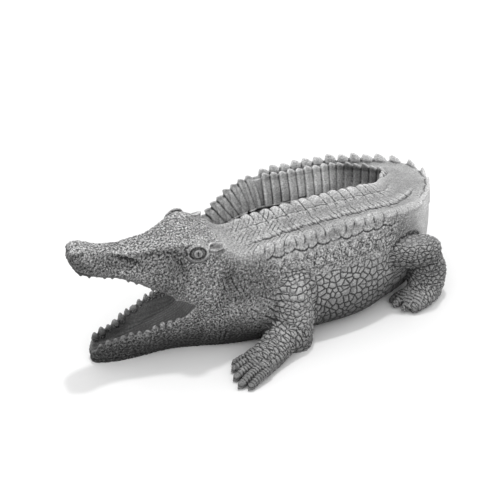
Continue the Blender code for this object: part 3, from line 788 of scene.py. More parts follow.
class Nodes:
    """A small helper that adds nodes to a tree."""

    def __init__(self, tree):
        self.tree = tree

    def node(self, kind, inputs=(), **settings):
        """Add a node with its settings, and set or link its inputs by place."""
        node = self.tree.nodes.new(kind)
        for key, value in settings.items():
            setattr(node, key, value)
        for place, value in dict(inputs).items():
            self.feed(node.inputs[place], value)
        return node

    def feed(self, socket, value):
        """Link a socket, or set its value."""
        if isinstance(value, bpy.types.NodeSocket):
            self.tree.links.new(value, socket)
        else:
            socket.default_value = value

    def sum_of(self, operation, *values):
        """A chain of one math operation over several values."""
        total = values[0]
        for value in values[1:]:
            total = self.node("ShaderNodeMath", {0: total, 1: value}, operation=operation).outputs[0]
        return total

    def alone(self, operation, value):
        """One math operation on a single value."""
        return self.node("ShaderNodeMath", {0: value}, operation=operation).outputs[0]

    def weighed(self, *parts):
        """The sum of values, each times its share."""
        return self.sum_of("ADD", *(self.sum_of("MULTIPLY", *part) for part in parts))

    def eased(self, value, low, high, to_low=0.0, to_high=1.0):
        """A value eased between two limits."""
        return self.node("ShaderNodeMapRange",
                         {0: value, 1: low, 2: high, 3: to_low, 4: to_high},
                         interpolation_type="SMOOTHSTEP").outputs[0]

    def scaled(self, vector, factor):
        """A vector times a factor."""
        return self.node("ShaderNodeVectorMath", {0: vector, "Scale": factor},
                         operation="SCALE").outputs[0]

    def noise(self, vector, scale, detail, roughness=0.5, distortion=0.0):
        """A noise texture's node."""
        return self.node("ShaderNodeTexNoise",
                         {"Vector": vector, "Scale": scale, "Detail": detail,
                          "Roughness": roughness, "Distortion": distortion})


class GeometryTree(Nodes):
    """A small helper that builds one Geometry Nodes tree."""

    def __init__(self, name):
        super().__init__(bpy.data.node_groups.new(name, "GeometryNodeTree"))
        for way in ("INPUT", "OUTPUT"):
            self.tree.interface.new_socket("Geometry", in_out=way, socket_type="NodeSocketGeometry")
        self.start = self.tree.nodes.new("NodeGroupInput")
        self.end = self.tree.nodes.new("NodeGroupOutput")
        self.geometry = self.start.outputs[0]

    def named_input(self, name, kind, default=None):
        """Add a named input to the tree and return its socket."""
        socket = self.tree.interface.new_socket(name, in_out="INPUT", socket_type=kind)
        if default is not None:
            socket.default_value = default
        return self.start.outputs[name]

    def stored(self, name, kind="FLOAT"):
        """A value stored on the points."""
        return self.node("GeometryNodeInputNamedAttribute", {0: name}, data_type=kind).outputs[0]

    def through(self, kind, inputs=(), **settings):
        """Pass the geometry through a node."""
        node = self.node(kind, inputs, **settings)
        self.tree.links.new(self.geometry, node.inputs[0])
        self.geometry = node.outputs[0]

    def finish(self, material):
        """End the tree with realized instances and the material."""
        self.through("GeometryNodeRealizeInstances")
        self.through("GeometryNodeSetMaterial", {2: material})
        self.tree.links.new(self.geometry, self.end.inputs[0])
        return self.tree


def copies_tree():
    """A tree that sets one shape at each marked place, and flares it along the mark's way."""
    build = GeometryTree("placed_copies")
    shape = build.named_input("Shape", "NodeSocketObject")
    size = build.named_input("Size", "NodeSocketFloat", 1.0)
    material = build.named_input("Finish", "NodeSocketMaterial")
    info = build.node("GeometryNodeObjectInfo", {0: shape}, transform_space="ORIGINAL")
    turn = build.node("FunctionNodeEulerToRotation", {0: build.stored("turn", "FLOAT_VECTOR")})
    build.through("GeometryNodeInstanceOnPoints",
                  {2: info.outputs["Geometry"], 5: turn.outputs[0],
                   6: build.scaled(build.stored("size", "FLOAT_VECTOR"), size)})
    build.through("GeometryNodeRealizeInstances")
    flare = build.scaled(build.stored("spread", "FLOAT_VECTOR"), build.stored("flare"))
    build.through("GeometryNodeSetPosition", {3: flare})
    return build.finish(material)


def set_inputs(modifier, values):
    """Set a Geometry Nodes modifier's named inputs."""
    for item in modifier.node_group.interface.items_tree:
        if item.in_out == "INPUT" and item.name in values:
            modifier[item.identifier] = values[item.name]


def placed_copies(name, shape, marks):
    """Set a shape at marks, each a place, three axes, a size and a spread, as one mesh."""
    mesh = bpy.data.meshes.new(name)
    mesh.from_pydata([tuple(Vector(mark[0]) * UNIT) for mark in marks], [], [])
    turns = []
    for mark in marks:
        axes = Matrix(mark[1]).transposed()
        turns.append(tuple(axes.to_euler()))
    keep_value(mesh, "turn", np.array(turns), "FLOAT_VECTOR")
    keep_value(mesh, "size", np.array([mark[2] for mark in marks]), "FLOAT_VECTOR")
    keep_value(mesh, "spread", np.array([mark[3] for mark in marks]), "FLOAT_VECTOR")
    each = linked(name, mesh)
    modifier = each.modifiers.new("Copies", "NODES")
    tree = bpy.data.node_groups.get("placed_copies") or copies_tree()
    modifier.node_group = tree
    set_inputs(modifier, {"Shape": shape, "Finish": cast_stone()})
    bake_modifiers(each)
    bpy.data.objects.remove(shape, do_unlink=True)
    return each


def rib_shape(name, side):
    """One rib of the tail, standing on its crest, with the lobe on top.

    side is -1 or 1 for a rib on one flank, or 0 for one that spans a narrow crest.
    """
    if side:
        outline = RIB_PROUD + RIB_INNER
    else:
        outline = [(out + NARROW_RIDGE * (rise <= 0.0), rise, flare)
                   for out, rise, flare in RIB_PROUD]
        outline += [(-out, rise, -flare) for out, rise, flare in reversed(outline[:-1])]
    rings = []
    flares = []
    for reach, swell, lift in RIB_RINGS:
        ring = []
        for out, rise, flare in outline:
            top = rise * LOBE_HEIGHT * lift if rise > 0.0 else rise
            sink = RIB_GROOVE * (1.0 - swell) / 0.45
            pull = math.copysign(sink, out) if abs(out) > 0.1 else 0.0
            ring.append((reach * RIB_LENGTH, (side or 1) * (out - pull), top))
            flares.append((side or 1) * flare)
        rings.append(ring)
    each = joined([skin_rings(rings)], name)
    keep_value(each.data, "flare", np.array(flares) * UNIT)
    return each


def rib_marks(rib_pitch):
    """Marks for the ribs: on the right flank, across the narrow end, and on the left."""
    rows, heading, slope, crest = spine_path()
    narrow = crest[np.argmax((rows[:, 6] < NARROW_AT) & (rows[:, 0] > TAIL_RUN))]
    marks = {-1: [], 0: [], 1: []}
    outer, inner = (crest[np.searchsorted(rows[:, 0], run)] for run in (TAIL_RUN - OUTER_LEAD, TAIL_RUN))
    spans = {-1: (outer, narrow), 1: (inner, narrow), 0: (narrow, crest[-1] - TIP_ROOM)}
    for side, spacing, first in RIB_ROWS:
        start, end = spans[side]
        pitch = spacing * rib_pitch
        for number in range(int((end - start) / pitch)):
            index = int(np.searchsorted(crest, start + pitch * (number + 0.5)))
            row = rows[index]
            run = Vector((heading[index][0], heading[index][1], 0.85 * slope[index])).normalized()
            left = Vector((-heading[index][1], heading[index][0], 0.0))
            up = run.cross(left)
            fading = min(1.0, (crest[-1] - crest[index]) / TIP_FADE + 0.22)
            grown = min(1.0, first + 0.09 * number)
            uneven = 1.0 + 0.10 * math.sin(2.7 * number + side)
            tall = fading * grown * uneven * (OUTER_TALLER if side < 0 else 1.0)
            spot = Vector((row[1], row[2], row[7])) + left * side * (row[6] - 1.0)
            bend = 1.0 - side * 0.010 * max(0.0, row[6] - 13.0)
            flare = (row[4] - row[6]) / 17.0
            size = (pitch / RIB_LENGTH * bend, 1.0, tall)
            marks[side].append((spot, (run, left, up), size, left * flare * tall))
    return marks


def tooth_shape(name):
    """One blunt tooth, standing up, of unit size."""
    rings = []
    for rise, girth in TOOTH_RINGS:
        ring = []
        for step in range(TOOTH_SIDES):
            turn = 2.0 * math.pi * step / TOOTH_SIDES
            ring.append((girth * math.cos(turn), girth * math.sin(turn), rise))
        rings.append(ring)
    each = joined([skin_rings(rings)], name)
    keep_value(each.data, "flare", np.zeros(len(each.data.vertices)))
    return each


def tooth_mark(spot, up, size):
    """The mark of one tooth at a place, pointing the given way."""
    up = Vector(up).normalized()
    fore = (Vector((1, 0, 0)) - up.x * up).normalized()
    return spot, (fore, up.cross(fore), up), size, Vector((0.0, 0.0, 0.0))


def tooth_marks(lower_count):
    """Marks for the teeth of both jaws."""
    marks = []
    places = np.linspace(JAW[2, 0], JAW[-4, 0], lower_count)
    for number, row in enumerate(between(JAW, places)):
        long = TOOTH_LENGTH * (1.30 + 0.30 * math.sin(1.7 * number + 0.6))
        wide = TOOTH_RADIUS * (1.30 + 0.20 * math.sin(2.3 * number))
        for side in (-1, 1):
            spot = Vector((row[0], side * (row[2] - 2.8), row[3] - 1.5))
            marks.append(tooth_mark(spot, (-0.06, side * 0.14, 1.0), (wide, 0.72 * wide, long)))
    places = np.linspace(HEAD[2, 0], HEAD[10, 0], UPPER_TEETH + 2)
    for number, row in enumerate(between(HEAD, places)):
        long = UPPER_TOOTH_LENGTH * (1.1 + 0.45 * math.sin(2.2 * number))
        for side in (-1, 1):
            spot = Vector((row[0], side * (row[6] - 3.4), row[7] + 1.5))
            marks.append(tooth_mark(spot, (0.0, side * 0.12, -1.0), (*UPPER_TOOTH_RADII, long)))
    return marks


def eye_forms(side):
    """The eyeball and the folds of skin round it."""
    centre = Vector((EYE[0], side * EYE[1], EYE[2]))
    forms = [egg(centre, EYE_RADII, 20, 32)]
    out, level, rise = eye_axes(side)
    if rise.z < 0.0:
        rise = -rise
    for reach, radius, tall, girth, start, end in EYE_FOLDS:
        spots = []
        for turn in np.linspace(math.radians(start), math.radians(end), 25):
            spots.append(centre + out * reach + level * radius * math.cos(turn)
                         + rise * tall * math.sin(turn))
        for first, second in zip(spots, spots[1:]):
            forms.append(taper(first, second, girth, girth, 8))
    return forms


def eye_axes(side):
    """Which way an eye looks, and its level and rising directions."""
    out = Vector((EYE_LOOKS[0], side * EYE_LOOKS[1], EYE_LOOKS[2])).normalized()
    level = Vector((1, 0, 0))
    level = (level - level.dot(out) * out).normalized()
    return out, level, out.cross(level)


def eye_face(points, side):
    """Which points lie on an eye's front, and their level and rising offsets from its middle."""
    out, level, rise = (np.array(axis) for axis in eye_axes(side))
    gap = points - (EYE[0], side * EYE[1], EYE[2])
    facing = (gap @ out > EYE_FRONT) & (np.linalg.norm(gap, axis=1) < EYE_RADIUS + 1.5)
    return facing, gap @ level, gap @ rise


def spine_places(points):
    """How far along the spine each point lies, its offset across, and the spine's rows."""
    rows, heading, _, _ = spine_path()
    coarse = rows[::COARSE_STEP, 1:3]
    nearest = np.empty(len(points), dtype=int)
    for start in range(0, len(points), BATCH):
        part = points[start:start + BATCH, None, :2] - coarse[None]
        nearest[start:start + BATCH] = np.argmin((part ** 2).sum(axis=2), axis=1)
    index = nearest * COARSE_STEP
    gap = points[:, :2] - rows[index, 1:3]
    shift = (gap * heading[index]).sum(axis=1)
    index = np.clip(index + np.round(shift).astype(int), 0, len(rows) - 1)
    gap = points[:, :2] - rows[index, 1:3]
    run = rows[index, 0] + (gap * heading[index]).sum(axis=1)
    across = gap[:, 1] * heading[index, 0] - gap[:, 0] * heading[index, 1]
    return run, across, rows[index]


def body_forms(step):
    """The large forms that run into each other."""
    forms = [body_loft(step), level_loft(HEAD, head_section, step),
             level_loft(JAW, jaw_section, step)]
    for rows, across, _, _, _ in LIMB_SCALES:
        forms.append(limb_loft(rows, across, step))
    for centre, radii in ((BROW, BROW_RADII), (EAR, EAR_RADII), (NOSE, NOSE_RADII)):
        forms += left_and_right(lambda side: egg((centre[0], side * centre[1], centre[2]), radii))
    return forms


def ramp(values, low, high):
    """Nought below low, one above high, smooth between."""
    share = np.clip((values - low) / (high - low), 0.0, 1.0)
    return share * share * (3.0 - 2.0 * share)


def fall(values, low, high):
    """One below low, nought above high, smooth between."""
    return 1.0 - ramp(values, low, high)


def limb_places(points):
    """Places on the limbs in widths of their scales, and nearness to the limbs' axes."""
    nearness = np.full(len(points), OFF_THE_LIMBS)
    place = np.zeros((len(points), 3))
    for number, (track, across, pitch, width, level) in enumerate(LIMB_SCALES):
        path = along(track, 2.0)
        centre = path[:, 1:4]
        heading = np.gradient(centre, axis=0)
        heading /= np.linalg.norm(heading, axis=1)[:, None]
        side = np.array(across) - (heading * across).sum(axis=1)[:, None] * heading
        side /= np.linalg.norm(side, axis=1)[:, None]
        lift = np.cross(heading, side)
        low = centre.min(axis=0) - LIMB_REACH
        high = centre.max(axis=0) + LIMB_REACH
        near = np.nonzero(((points > low) & (points < high)).all(axis=1))[0]
        for start in range(0, len(near), BATCH):
            chosen = near[start:start + BATCH]
            distance = ((points[chosen, None, :] - centre[None]) ** 2).sum(axis=2)
            index = np.argmin(distance, axis=1)
            gap = points[chosen] - centre[index]
            ratio = np.sqrt(distance.min(axis=1)) / (0.5 * (path[index, 4] + path[index, 5]))
            reach = path[index, 0] + (gap * heading[index]).sum(axis=1)
            found = np.column_stack((reach / pitch, (gap * side[index]).sum(axis=1) / width,
                                     (gap * lift[index]).sum(axis=1) / width + LIMB_SHIFT * number))
            if level:
                x, y, z = points[chosen].T
                found = np.column_stack((-z / pitch, x / width, y / width + LIMB_SHIFT * number))
            closer = ratio < nearness[chosen]
            nearness[chosen[closer]] = ratio[closer]
            place[chosen[closer]] = found[closer]
    return place, nearness


def dent(offset, width):
    """A smooth dent or bump of unit depth, of the given half-width."""
    return np.exp(-(offset / width) ** 2)


def wander(skin, pitch, start):
    """A smooth irregular swing between about -1 and 1 over the skin."""
    turn = 2.0 * math.pi / pitch
    swing = np.sin(turn * skin.x + start + 0.9 * np.sin(0.57 * turn * skin.z))
    swing += np.sin(0.83 * turn * skin.y + 2.1 * start)
    swing += np.sin(1.27 * turn * skin.z + 0.7 * start + np.sin(0.61 * turn * skin.x))
    return 0.5 * swing


def beat_of(reach, pitch, shift=0.0):
    """How far each point lies through its own beat of a repeating pattern, from 0 to 1."""
    phase = reach / pitch + shift
    return phase - np.floor(phase)


class SkinPlaces:
    """Where each point of the skin lies on the animal, in drawn millimetres."""

    def __init__(self, points, normals):
        self.points = points
        self.normals = normals
        self.x, self.y, self.z = points.T
        self.run, self.across, self.rows = spine_places(points)
        self.ridge_z = self.rows[:, 7]
        self.rib_foot = RIB_FOOT * np.minimum(1.0, self.ridge_z / TAIL_RIDGE)
        self.limb_place, nearness = limb_places(points)
        self.limb = fall(nearness, 1.04, 1.30)
        self.find_head()
        self.find_eyes_and_ears()
        self.find_toes()
        self.find_trunk()

    def find_head(self):
        """The head, the inside of its mouth and the hollows in its sides."""
        forward = fall(self.x, -112.0, -88.0) * (np.abs(self.y) < 72.0)
        self.head = forward * (1.0 - self.limb)
        facing_up = self.normals[:, 2]
        palate = (facing_up < -0.25) & (self.z > 88.0)
        trough = (facing_up > 0.25) & (self.z < 100.0) & (np.abs(self.y) < 34.0)
        self.mouth = self.head * (palate | trough)
        self.hollows = np.zeros(len(self.points))
        sideways = ramp(np.abs(self.normals[:, 1]), 0.25, 0.6) * self.head
        for x, z, long, tall, slope, depth in HEAD_HOLLOWS:
            level = self.z - z - slope * (self.x - x)
            self.hollows += depth * dent(self.x - x, long) * dent(level, tall) * sideways

    def find_eyes_and_ears(self):
        """The pupils, the ears with their rims, and the plainer skin round both."""
        self.bare = np.zeros(len(self.points))
        self.ear = np.zeros(len(self.points))
        self.ear_rim = np.zeros(len(self.points))
        self.from_pupil = np.full(len(self.points), OFF_THE_EYES)
        for side in (-1, 1):
            for centre, reach in ((EYE, LID_RADIUS + 5.0), (EAR, EAR_RADII[0])):
                gap = self.points - (centre[0], side * centre[1], centre[2])
                away = np.linalg.norm(gap * (1.0, 0.8, 1.25), axis=1)
                self.bare = np.maximum(self.bare, fall(away, 0.75 * reach, 1.25 * reach))
            facing, flat, tall = eye_face(self.points, side)
            self.from_pupil[facing] = np.hypot(flat, tall)[facing]
            gap = self.points - (EAR_HOLLOW[0], side * EAR_HOLLOW[1], EAR_HOLLOW[2])
            away = np.linalg.norm(gap / EAR_HOLLOW_RADII, axis=1)
            self.ear += dent(away, 1.0)
            self.ear_rim += dent(away - 1.45, 0.28)

    def find_toes(self):
        """The toes, and how far along its toe each point lies."""
        self.toes = np.zeros(len(self.points))
        self.toe_reach = np.zeros(len(self.points))
        for root_x, root_y, tip_x, tip_y, radius in TOES:
            way = np.array((tip_x - root_x, tip_y - root_y))
            length = np.hypot(*way)
            way = way / length
            gap = self.points[:, :2] - (root_x, root_y)
            reach = gap @ way
            aside = np.abs(gap[:, 1] * way[0] - gap[:, 0] * way[1])
            on_toe = ramp(reach, -6.0, 4.0) * (reach < 0.78 * length) * (self.z > 3.0)
            on_toe = on_toe * fall(aside, radius - 1.0, radius + 1.5) * (self.z < 30.0)
            self.toe_reach = np.where(on_toe > self.toes, reach, self.toe_reach)
            self.toes = np.maximum(self.toes, on_toe)

    def find_trunk(self):
        """The trunk with the neck and tail, the tail alone, and the trunk's upper side."""
        on_spine = ramp(self.rows[:, 4] + 12.0 - np.abs(self.across), 0.0, 8.0)
        self.trunk = on_spine * (1.0 - self.head) * (1.0 - self.limb)
        self.tail = ramp(self.run, TAIL_RUN - 30.0, TAIL_RUN + 10.0)
        high = ramp(self.z, self.ridge_z - 26.0, self.ridge_z - 14.0)
        self.top = ramp(self.normals[:, 2], 0.20, 0.60) * high


def back_carving(skin):
    """The back's keeled scutes, and the nicks, grooves and scored lines between them."""
    on_back = ramp(skin.run, SCUTE_RUN, SCUTE_RUN + 40.0) * skin.trunk * skin.top
    on_back = on_back * fall(skin.run, TAIL_RUN - 78.0, TAIL_RUN - 25.0)
    reach = skin.run + 2.6 * wander(skin, 43.0, 1.0)
    aside = skin.across + 1.6 * wander(skin, 37.0, 2.0)
    height = np.zeros(len(skin.run))
    below = np.zeros(len(skin.run))
    for row, rise, parted, shift in SCUTE_ROWS:
        beat = beat_of(reach, SCUTE_PITCH, shift)
        arch = np.sin(math.pi * beat) ** 0.7
        outward = math.copysign(1.0, row) * (aside - row) - 1.8 * (arch - 0.6)
        keel = np.where(outward > 0.0, dent(outward, 0.34 * SCUTE_WIDTH), dent(outward, SCUTE_WIDTH))
        swell = 1.0 - parted + parted * arch * (0.72 + 0.42 * beat)
        uneven = 1.0 + 0.22 * wander(skin, 29.0, 3.0 + shift)
        height = np.maximum(height, keel * swell * rise * uneven)
        below = below + dent(outward - 0.62 * SCUTE_WIDTH, 1.7)
    beat = beat_of(reach, SCUTE_PITCH)
    nick = dent((beat_of(reach + 0.5 * aside, NICK_PITCH) - 0.5) * NICK_PITCH, 1.1)
    nick = nick * np.clip(0.5 + 0.8 * wander(skin, 21.0, 13.0), 0.0, 1.0)
    for row, _, _, _ in SCUTE_ROWS:
        height = height - NICK_DEPTH * nick * dent(aside - row + 3.0, 5.0) * (abs(row) < 40.0)
    crossing = dent(np.minimum(beat, 1.0 - beat) * SCUTE_PITCH, 1.2)
    crossing = crossing * np.clip(0.25 + 0.6 * wander(skin, 31.0, 5.0), 0.0, 1.0)
    below = below * np.clip(0.45 + 0.7 * wander(skin, 35.0, 15.0), 0.1, 1.0)
    height = height - SCUTE_GROOVE * (crossing * (np.abs(aside) < 36.0) + 0.9 * below)
    slanting = beat_of(0.75 * reach - 0.66 * aside, SCORE_PITCH) - 0.5
    near_neck = ramp(skin.run, SCUTE_RUN - 20.0, SCUTE_RUN) * fall(skin.run, 150.0, 200.0)
    scored = dent(slanting * SCORE_PITCH, 0.9) * near_neck * skin.trunk * skin.top
    return height * on_back - SCORE_DEPTH * scored * (0.5 + 0.5 * wander(skin, 27.0, 4.0))


def flank_carving(skin):
    """The back's scalloped edge, the rows of bumps below it, and the groove along the floor."""
    on_flank = ramp(skin.run, 70.0, 120.0) * fall(skin.run, 300.0, 345.0) * skin.trunk
    reach = skin.run + 2.8 * wander(skin, 47.0, 6.0)
    level = skin.z - 0.55 * (skin.ridge_z - 158.0) + 1.8 * wander(skin, 39.0, 7.0)
    height = np.zeros(len(skin.run))
    for row, rise, tall, shift in FLANK_BUMP_ROWS:
        beat = beat_of(reach, FLANK_BUMP_PITCH, shift) - 0.5
        uneven = 0.9 + 0.35 * wander(skin, 33.0, 14.0 + row)
        height += rise * uneven * dent(beat * FLANK_BUMP_PITCH, 6.6) * dent(level - row, tall)
    lobes = np.sin(math.pi * beat_of(reach, EDGE_PITCH)) ** 0.6
    lip = level - EDGE_LEVEL + 3.2 * lobes
    broken = np.clip(0.6 + 0.7 * wander(skin, 41.0, 16.0), 0.1, 1.2)
    height += broken * (EDGE_RISE * lobes * dent(lip - 5.0, 4.2) - EDGE_GROOVE * dent(lip, 1.7))
    strip = dent(skin.z - STRIP_HEIGHT, 1.1) * (1.0 - skin.tail) * (1.0 - skin.limb)
    return height * on_flank - STRIP_DEPTH * strip


def neck_carving(skin):
    """Curved folds behind the jaw and long slanting folds in front of the arm."""
    curved = skin.run + 0.22 * skin.z + 0.0016 * (skin.z - 90.0) ** 2 + 1.8 * wander(skin, 44.0, 8.0)
    behind_jaw = ramp(skin.run, 8.0, 22.0) * fall(skin.run, 52.0, 72.0)
    behind_jaw = behind_jaw * fall(skin.z, 122.0, 146.0) * ramp(skin.z, 10.0, 24.0)
    folds = -dent((beat_of(curved, NECK_FOLD_PITCH) - 0.5) * NECK_FOLD_PITCH, 1.5) * behind_jaw
    slanting = 0.62 * skin.run + 0.78 * skin.z + 2.4 * wander(skin, 52.0, 9.0)
    before_arm = ramp(skin.run, 50.0, 70.0) * fall(skin.run, 104.0, 122.0)
    before_arm = before_arm * fall(skin.z, 110.0, 136.0) * ramp(skin.z, 10.0, 24.0)
    long_folds = -dent((beat_of(slanting, LONG_FOLD_PITCH) - 0.5) * LONG_FOLD_PITCH, 1.8)
    side = ramp(np.abs(skin.across), 30.0, 40.0) * (1.0 - skin.limb)
    uneven = np.clip(0.5 + 0.8 * wander(skin, 23.0, 10.0), 0.0, 1.2)
    return NECK_FOLD_DEPTH * (folds + 1.4 * long_folds * before_arm) * side * uneven


def head_carving(skin):
    """The eyes' rings and slits, the ears' and nostrils' hollows and the mouth's wrinkles."""
    height = np.zeros(len(skin.run))
    for side in (-1, 1):
        facing, flat, tall = eye_face(skin.points, side)
        ring = dent(np.hypot(flat, tall) - IRIS_RADIUS, 0.9)
        slit = dent(flat, 1.1) * fall(np.abs(tall), 3.2, 4.8)
        height -= facing * np.maximum(0.8 * ring, 1.3 * slit)
        nostril = skin.points - (NOSE[0] + 1.0, side * (NOSE[1] + 1.0), NOSE[2] + NOSE_RADII[2])
        height -= NOSTRIL_DEPTH * dent(np.linalg.norm(nostril, axis=1), 3.4)
    height -= skin.hollows + EAR_DEPTH * skin.ear - EAR_RIM * skin.ear_rim
    height -= FOREHEAD_DIP * dent(skin.x + 188.0, 30.0) * ramp(skin.z, 172.0, 186.0) * skin.head
    wrinkles = np.sin(2.0 * math.pi * skin.y / 5.0 + 0.03 * skin.x)
    return height + MOUTH_WRINKLE_DEPTH * wrinkles * skin.mouth


def limb_carving(skin):
    """The ridges on the thigh and the bars across the toes."""
    height = np.zeros(len(skin.run))
    thigh = (skin.x > 190.0) & (skin.y < -50.0) & (skin.y > -100.0)
    for level in THIGH_BAR_HEIGHTS:
        height += THIGH_BAR_RISE * dent(skin.z - level, 2.6) * thigh
    bar = (beat_of(skin.toe_reach, TOE_BAR_PITCH) - 0.5) * TOE_BAR_PITCH
    return height - TOE_BAR_DEPTH * dent(bar, 1.0) * skin.toes


def tail_carving(skin):
    """The ledge that the tail's ribs stand on."""
    on_tail = ramp(skin.run, TAIL_RUN, TAIL_RUN + 40.0)
    level = skin.z - skin.rib_foot
    return on_tail * (1.3 * dent(level, 1.6) - 1.0 * dent(level + 4.2, 1.7))


def mark_skin(mesh, rib_pitch):
    """Store where each kind of scale lies, and move the skin by the carving."""
    points, normals = mesh_points(mesh)
    skin = SkinPlaces(points, normals)
    girth = skin.z + 0.8 * (skin.rows[:, 4] - np.abs(skin.across)) * (skin.z > 60.0)
    far_side = FLANK_SHIFT * (skin.across > 0.0)
    flank_place = np.column_stack((skin.run + far_side, girth, np.zeros(len(points))))
    keep_value(mesh, "flank_place", flank_place, "FLOAT_VECTOR")
    keep_value(mesh, "limb_place", skin.limb_place, "FLOAT_VECTOR")
    above_strip = ramp(skin.z, STRIP_HEIGHT + 0.5, STRIP_HEIGHT + 3.0)
    flank = skin.trunk * above_strip * ramp(skin.run, 140.0, 172.0) * fall(skin.run, 325.0, 360.0)
    keep_value(mesh, "flank", flank * fall(skin.z + 6.0 * wander(skin, 30.0, 12.0), 92.0, 116.0))
    level_top = ramp(normals[:, 2], 0.6, 0.95) * (skin.z > 60.0)
    keep_value(mesh, "limb", skin.limb * (1.0 - 0.45 * level_top) * (1.0 - 0.8 * skin.toes))
    front = fall(skin.x + 9.0 * wander(skin, 34.0, 11.0), -100.0, -66.0)
    front = front * (1.0 - skin.limb) * (np.abs(skin.y) < 76.0)
    behind = skin.trunk * fall(skin.run, 110.0, 165.0) * (1.0 - 0.6 * skin.top)
    furrows = np.maximum(front, 0.7 * behind)
    keep_value(mesh, "furrows", furrows * (1.0 - skin.mouth) * (1.0 - 0.85 * skin.bare))
    upper = np.maximum(skin.trunk * ramp(skin.z, 92.0, 120.0) * (1.0 - 0.7 * skin.top), 1.15 * front)
    upper = np.maximum(upper, 0.9 * behind)
    upper = upper * (1.0 - skin.mouth) * (1.0 - 0.7 * skin.bare)
    keep_value(mesh, "beads", upper * fall(skin.run, 310.0, 360.0))
    keep_value(mesh, "smooth", np.maximum(skin.mouth, ramp(skin.run, 320.0, 370.0)))
    keep_value(mesh, "tone", tone_of(skin, rib_pitch))
    height = back_carving(skin) + flank_carving(skin) + neck_carving(skin)
    height = height + head_carving(skin) + limb_carving(skin) + tail_carving(skin)
    moved = (points + normals * height[:, None]) * UNIT
    mesh.vertices.foreach_set("co", np.ascontiguousarray(moved, dtype=np.float32).ravel())
    mesh.update()


def head_tones(skin, upward):
    """How far each point lies in each toned place of the head and neck."""
    aside = 1.0 - upward
    lower = np.clip(skin.head + skin.trunk * fall(skin.run, 60.0, 130.0), 0.0, 1.0)
    neck = skin.trunk * fall(skin.run, 80.0, 140.0) * ramp(skin.z, 80.0, 100.0) * aside
    side = skin.head * ramp(skin.z, 95.0, 120.0) * aside
    iris = 1.0 - 0.9 * dent(skin.from_pupil - 5.2, 1.4)
    # The throat, the head's and the ears' hollows and the inside of the mouth are darkened as painted
    # shade
    return {"throat_shade": lower * fall(skin.z, 20.0, 66.0) * aside,
            "neck": neck * (1.0 - 0.8 * ramp(skin.z, 132.0, 158.0)),
            "cheek": side * fall(skin.x, -175.0, -125.0),
            "snout": side * fall(skin.x, -305.0, -275.0),
            "head_top": skin.head * upward,
            "hollow": np.minimum(skin.hollows, 3.0),
            "ear": np.minimum(skin.ear, 1.0),
            "ear_rim": skin.ear_rim,
            "eye": (skin.from_pupil < OFF_THE_EYES) * iris,
            "mouth": skin.mouth}


def tail_tones(skin, upward, rib_pitch):
    """How far each point lies in each toned place of the tail.

    The wall under the bars is darkened as painted shade, the inner bars are painted lighter on one side
    and darker on the other as if each lapped the next, and painted shadow dims them where the tail bends.
    """
    on_tail = skin.tail * skin.trunk
    bars = on_tail * ramp(skin.z, skin.rib_foot - 5.0, skin.rib_foot + 2.0) * (1.0 - 0.8 * upward)
    # Painted shade on the wall under the bars
    shaded_wall = on_tail * fall(skin.z, skin.rib_foot - 5.0, skin.rib_foot)
    inner = skin.across > 0.0
    outer = (skin.across < 0.0) * fall(skin.z, skin.ridge_z - 6.0, skin.ridge_z + 2.0)
    rows, _, _, crest = spine_path()
    first = crest[np.searchsorted(rows[:, 0], TAIL_RUN)]
    # Each inner bar takes painted light on one side and painted shade on the other
    beat = beat_of(np.interp(skin.run, rows[:, 0], crest) - first, rib_pitch)
    # Painted shadow on the inner bars where the tail bends, deeper on their upper parts
    bend = ramp(skin.run, 415.0, 450.0) * fall(skin.run, 540.0, 600.0) * inner
    upper = ramp(skin.z, skin.rib_foot + 14.0, skin.rib_foot + 34.0)
    return {"bars": bars * (1.0 - 0.7 * outer),
            "shaded_wall": shaded_wall * (1.0 - 0.6 * outer),
            "last_bars": bars * ramp(skin.run, 640.0, 700.0),
            "bar_light_and_shade": (2.0 * beat - 1.0) * bars * inner,
            "bend": (1.0 + UPPER_BEND_SHADOW * upper) * bars * bend}


def trunk_tones(skin, upward):
    """How far each point lies in each toned place of the trunk."""
    aside = 1.0 - upward
    trunk = skin.trunk * (1.0 - skin.tail)
    back = trunk * skin.top * ramp(skin.run, 120.0, 180.0)
    # Painted light on faces turned up, and painted shade on faces turned down and on the low flanks
    return {"facing_up": upward,
            "painted_shade_facing_down": ramp(-skin.normals[:, 2], 0.0, 0.5),
            "high_flank": trunk * ramp(skin.z, 105.0, 120.0) * aside * (1.0 - skin.top),
            "low_flank_shade": trunk * fall(skin.z, 45.0, 80.0),
            "rump": trunk * ramp(skin.run, 330.0, 375.0) * aside,
            "back": back * fall(skin.run, 320.0, 370.0),
            "back_edge": back * ramp(skin.across, 26.0, 34.0)}


def limb_tones(skin):
    """How far each point lies in each toned place of the limbs."""
    behind = ramp(skin.x, 120.0, 180.0)
    return {"paw": skin.limb * (1.0 - behind) * fall(skin.z, 52.0, 75.0),
            "hind_foot": skin.limb * behind * fall(skin.z, 28.0, 45.0),
            "thigh": skin.limb * behind * ramp(skin.z, 45.0, 60.0)}


def tone_of(skin, rib_pitch):
    """How pale the weathered stone is at each point: paler above, darker low down."""
    upward = ramp(skin.normals[:, 2], 0.05, 0.9)
    tone = SHADED_TONE_AT_FLOOR
    for share, low, high in TONE_RISES_OUT_OF_SHADE:
        tone = tone + share * ramp(skin.z, low, high)
    for places in (head_tones(skin, upward), tail_tones(skin, upward, rib_pitch),
                   trunk_tones(skin, upward), limb_tones(skin)):
        for name, place in places.items():
            tone = tone * (1.0 + STONE_TONES[name] * place)
    return tone


